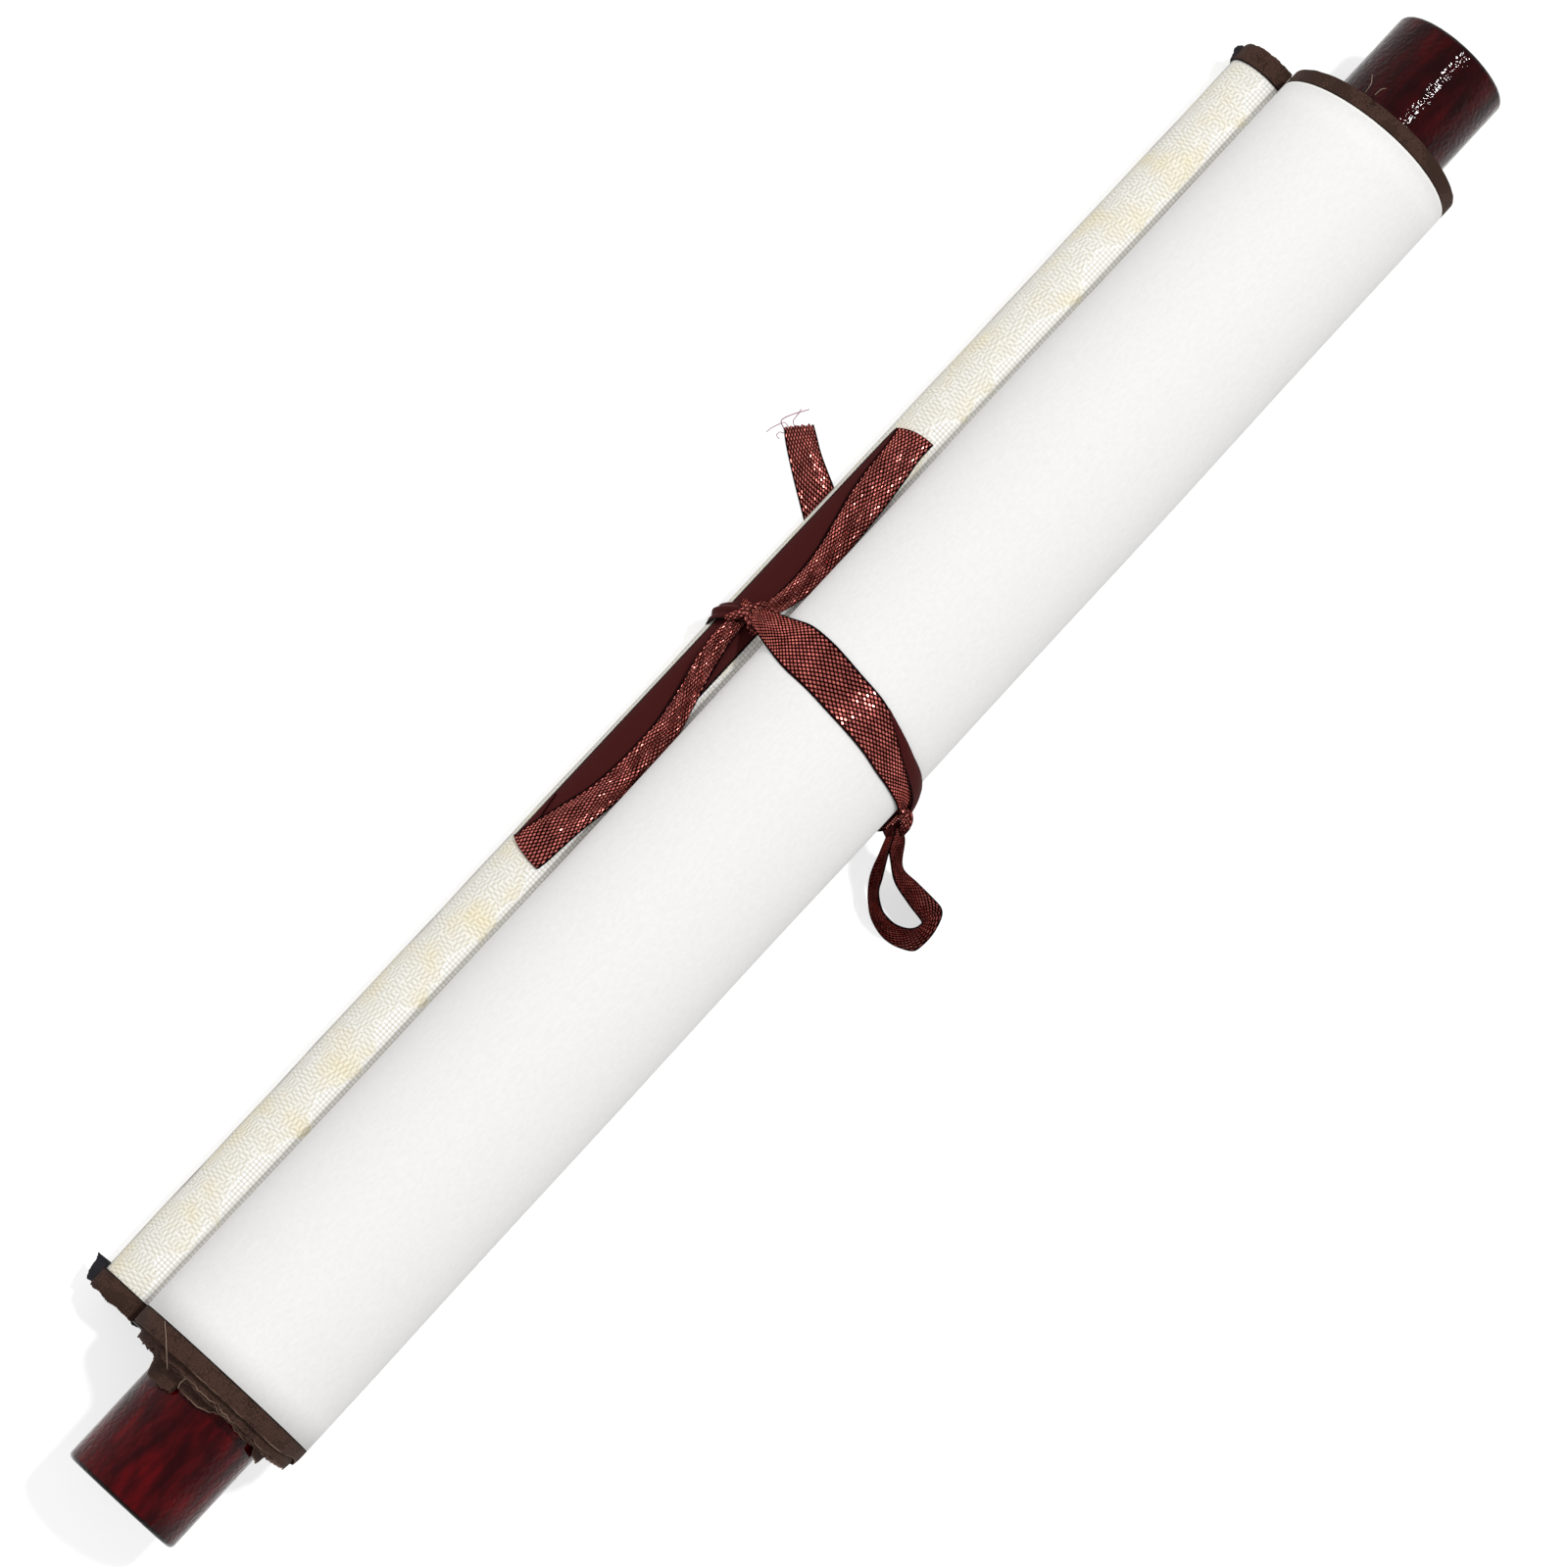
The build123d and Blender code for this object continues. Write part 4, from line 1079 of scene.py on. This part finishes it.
crossing_stations = [
    (-20, 7.2, 13.6, RIBBON_IN + 0.3), (-5, 7.2, 12.8, RIBBON_IN + 0.3), (8, 7.4, 12.3, RIBBON_IN + 0.5),
    (24, 7.9, 12.2, ACROSS - 1.1), (42, 9.2, 12.9, ACROSS - 0.5), (60, 10.6, 14.2, ACROSS - 0.1),
    (76, 11.8, 15.4, ACROSS), (90, 12.4, 16.2, ACROSS - 0.5)]
knot_wrap = on_stave(crossing_stations, 90, 29, fold_depth=0.34, fold_count=1.8, lean=-10)[:, ::-1]


def drawn_in(path_stations, count, columns, folds):
    """A ribbon drawn in until it is nearly round: the strip is rolled about its path
    from stations (t, x, y, z, radius), through most of a full turn, with sharp
    lengthwise folds."""
    t = np.linspace(path_stations[0][0], path_stations[-1][0], count)
    x, y, z, r = smooth(path_stations, t).T
    line = np.stack([x, y, z], -1)
    ahead = np.gradient(line, axis=0)
    ahead /= np.linalg.norm(ahead, axis=1)[:, None]
    side = np.cross(ahead, [0.30, -0.25, 1.0])
    side /= np.linalg.norm(side, axis=1)[:, None]
    over = np.cross(side, ahead)
    a = np.radians(np.linspace(150, -150, columns))[None, :, None]
    width = r[:, None, None] * (1 + folds * np.sin(7 * a + 0.9 * t[:, None, None]))
    return line[:, None] + width * (over[:, None] * np.cos(a) + side[:, None] * np.sin(a))


collar = drawn_in([(0, 15.2, 31.6, 15.4, 0.6), (1, 14.5, 30.8, 17.4, 0.9), (2, 13.5, 29.4, 19.0, 1.05),
                   (3, 12.5, 27.8, 19.3, 1.05), (4, 11.8, 26.5, 18.0, 0.9), (5, 11.6, 25.9, 16.0, 0.6)],
                  60, 41, folds=0.12)
tuck = drawn_in([(0, 9.9, 32.0, 16.6, 0.5), (1, 11.6, 30.9, 18.2, 0.7), (2, 13.4, 29.9, 19.5, 0.75),
                 (3, 15.4, 28.9, 19.4, 0.7), (4, 17.2, 28.2, 18.4, 0.45)], 50, 33, folds=0.14)

# %% Slip knot and its loop
slip_tail = drawn_in([(0, 5.0, -20.9, 21.0, 0.9), (1, 4.6, -22.6, 20.4, 1.15), (2, 3.6, -23.9, 18.6, 1.1),
                      (3, 2.6, -24.4, 16.4, 0.85), (4, 1.9, -24.6, 15.0, 0.7)], 50, 37, folds=0.12)
slip_collar = drawn_in([(0, 3.2, -22.3, 20.6, 0.5), (1, 4.2, -22.6, 21.3, 0.75),
                        (2, 5.4, -22.5, 21.1, 0.75), (3, 6.5, -21.9, 20.0, 0.6)], 40, 33, folds=0.10)

# outer and inner edge of the loop, from the slip knot round and back
loop_edges = np.array([
    ((2.6, -23.9, 16.4), (1.2, -23.2, 18.4)), ((2.1, -25.9, 12.4), (-1.1, -24.2, 16.4)),
    ((-1.6, -30.3, 4.5), (-3.8, -27.4, 12.6)), ((-1.2, -34.4, 1.2), (-5.6, -30.6, 9.6)),
    ((-1.3, -40.4, 0.35), (-6.9, -36.2, 8.4)), ((-2.8, -43.0, 0.3), (-8.0, -40.6, 9.2)),
    ((-6.9, -44.1, 0.3), (-9.4, -40.4, 9.5)), ((-11.3, -43.9, 0.3), (-10.9, -39.1, 8.9)),
    ((-13.6, -41.0, 0.3), (-12.0, -36.3, 8.7)), ((-14.4, -36.7, 0.3), (-11.9, -33.6, 8.9)),
    ((-13.4, -32.9, 0.35), (-11.2, -31.8, 9.3)), ((-11.1, -29.6, 0.8), (-9.6, -29.6, 10.3)),
    ((-7.9, -26.7, 2.6), (-7.2, -28.1, 12.2)), ((-2.8, -24.2, 8.0), (-3.2, -25.5, 16.5)),
    ((0.9, -22.4, 14.6), (0.7, -23.5, 19.4))])
chord = np.linalg.norm(np.diff(loop_edges.mean(axis=1), axis=0), axis=1)
at_mm = np.concatenate([[0], np.cumsum(chord)])
t = np.linspace(0, at_mm[-1], 260)
outer, inner = (smooth(np.column_stack([at_mm, loop_edges[:, k]]), t) for k in (0, 1))
u = np.linspace(0, 1, 21)[None, :, None]
loop_points = outer[:, None] + (inner - outer)[:, None] * u
loop_points = loop_points[:, ::-1]
curl = 0.25 * np.sin(t / 5) - 0.9 * np.exp(-((t - at_mm[6]) / 9) ** 2)
loop_points += grid_normals(loop_points) * (np.sin(np.pi * u) * curl[:, None, None])
print("slip loop", round(float(t[-1])), "mm round")

# %% Runs under the roll, and the tail on the table
UNDER_Z = 0.05 + SATIN / 2


def under_roll(stations, count, columns=21):
    """A run under the roll from stations (t, near x, far x, near y, far y, z, cup):
    straight across from one edge to the other, with the middle raised by the cup."""
    t = np.linspace(stations[0][0], stations[-1][0], count)
    x0, x1, y0, y1, z, cup = smooth(stations, t).T[..., None]
    u = np.linspace(0, 1, columns)[None, :]
    return points_from(x0 + (x1 - x0) * u, y0 + (y1 - y0) * u, z + cup * u * np.sin(np.pi * u) ** 0.8)


leg_side = [(180, -0.6, 4.6), (200, -1.2, 6.6), (225, -0.8, 8.0), (250, -0.2, 9.0), (268, 0.4, 10.0)]
tail_side = [(180, 0.6, 6.0), (200, 0.4, 8.8), (225, 4.0, 13.2), (250, 9.0, 18.6), (268, 12.4, 22.0)]
under_centre = (-PITCH / 4 - 0.4, ROLLER_Z)
under_r = TIGHT + PAPER + 0.25


def down_side(stations, extra):
    """The ribbon on the roll's open lower side: x from edge to edge at each angle."""
    a = np.linspace(stations[0][0], stations[-1][0], 60)
    x0, x1 = smooth(stations, a).T[..., None]
    u = np.linspace(0, 1, 21)[None, :]
    points = about(under_centre, x0 + (x1 - x0) * u, a[:, None], under_r + extra)
    points[..., 2] = np.maximum(points[..., 2], UNDER_Z + 0.02)
    return points


leg_down = down_side(leg_side, 0.10)[:, ::-1]
tail_down = down_side(tail_side, 0.55)
# a short fold closes the slip knot below: both its edges at its start and at its end
fold_from = [(-0.3, -20.9, 16.0), (3.9, -21.2, 19.0)]
fold_to = [(-1.0, -23.0, 15.0), (2.6, -24.0, 16.5)]
knot_fold = np.linspace(fold_from, fold_to, 20)
knot_fold = knot_fold[:, 1:] + (knot_fold[:, :1] - knot_fold[:, 1:]) * np.linspace(0, 1, 9)[:, None]
leg_floor = under_roll([
    (0, 0.4, 10.0, -0.8, -0.8, UNDER_Z, 0.0), (1, 3.0, 13.0, 10.0, 10.0, UNDER_Z, 0.0),
    (2, 5.6, 15.4, 20.0, 20.0, UNDER_Z, 0.0), (3, 6.8, 16.2, 25.0, 25.0, UNDER_Z, 0.0)], 40)
leg_up = about(STAVE, np.linspace(6.8, 16.2, 21)[None, :], np.linspace(-97, -18, 40)[:, None],
               RIBBON_IN + SATIN / 2 + 0.03)
leg_up[..., 2] = np.maximum(leg_up[..., 2], UNDER_Z)
tail_stations = [
    # t, near x, far x, near y, far y, height, cup
    (0, 12.4, 22.0, -0.8, -0.8, UNDER_Z, 0.0), (1, 19.0, 28.6, 9.0, 8.0, UNDER_Z, 0.0),
    (2, 27.4, 36.4, 19.0, 17.0, UNDER_Z, 0.0), (3, 35.4, 44.6, 29.0, 26.6, UNDER_Z, 0.1),
    (4, 39.6, 48.7, 35.2, 34.6, UNDER_Z + 0.02, 0.9), (5, 44.9, 51.9, 43.2, 41.0, UNDER_Z + 0.03, 1.6),
    (6, 49.6, 54.6, 49.6, 45.2, UNDER_Z + 0.10, 1.3), (6.35, 50.9, 55.6, 51.0, 46.8, UNDER_Z + 0.25, 1.0)]
tail_points = under_roll(tail_stations, 150)
fray = 0.45 * ragged(np.linspace(0, 21, 21), 1.0, 41) * (np.arange(21) % 3 - 1)
tail_points[-1, :, 1] += fray
tail_points[-1, :, 0] += 0.6 * fray
tail_points, leg_floor, leg_up = (p[:, ::-1] for p in (tail_points, leg_floor, leg_up))

# %% Loose threads
# Cut satin frays: single threads stand out of the tail's end.
threads_here = [
    drawn_fibre([(50.6, 50.6, 0.4), (51.4, 52.3, 1.3), (53.6, 51.6, 1.9), (57.2, 49.6, 1.5)], 0.12, slot=2),
    drawn_fibre([(51.6, 50.2, 0.6), (51.6, 51.4, 1.4), (49.4, 52.6, 1.2), (47.6, 53.0, 0.5)], 0.10, slot=2),
    drawn_fibre([(52.4, 49.3, 0.9), (53.0, 50.4, 1.8), (54.6, 50.6, 1.6), (56.2, 50.9, 0.9)], 0.10, slot=2),
    drawn_fibre([(50.0, 50.2, 0.3), (49.3, 51.0, 0.9), (48.6, 51.0, 0.7), (48.4, 50.0, 0.2)], 0.09, slot=2)]

# %% Tie ribbon as one piece
soft_strips = [band_points, lap_points, knot_wrap, collar, tuck, slip_tail, slip_collar, loop_points,
               leg_down, knot_fold, tail_down, leg_floor, leg_up, tail_points]
tie = add_piece("tie_satin_ribbon", [ribbon(p) for p in soft_strips] + threads_here,
                [satin, satin_back, filament])
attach(tie, "root")
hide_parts("tie_ribbon")

# %% View transform
bpy.context.scene.view_settings.view_transform = "Standard"
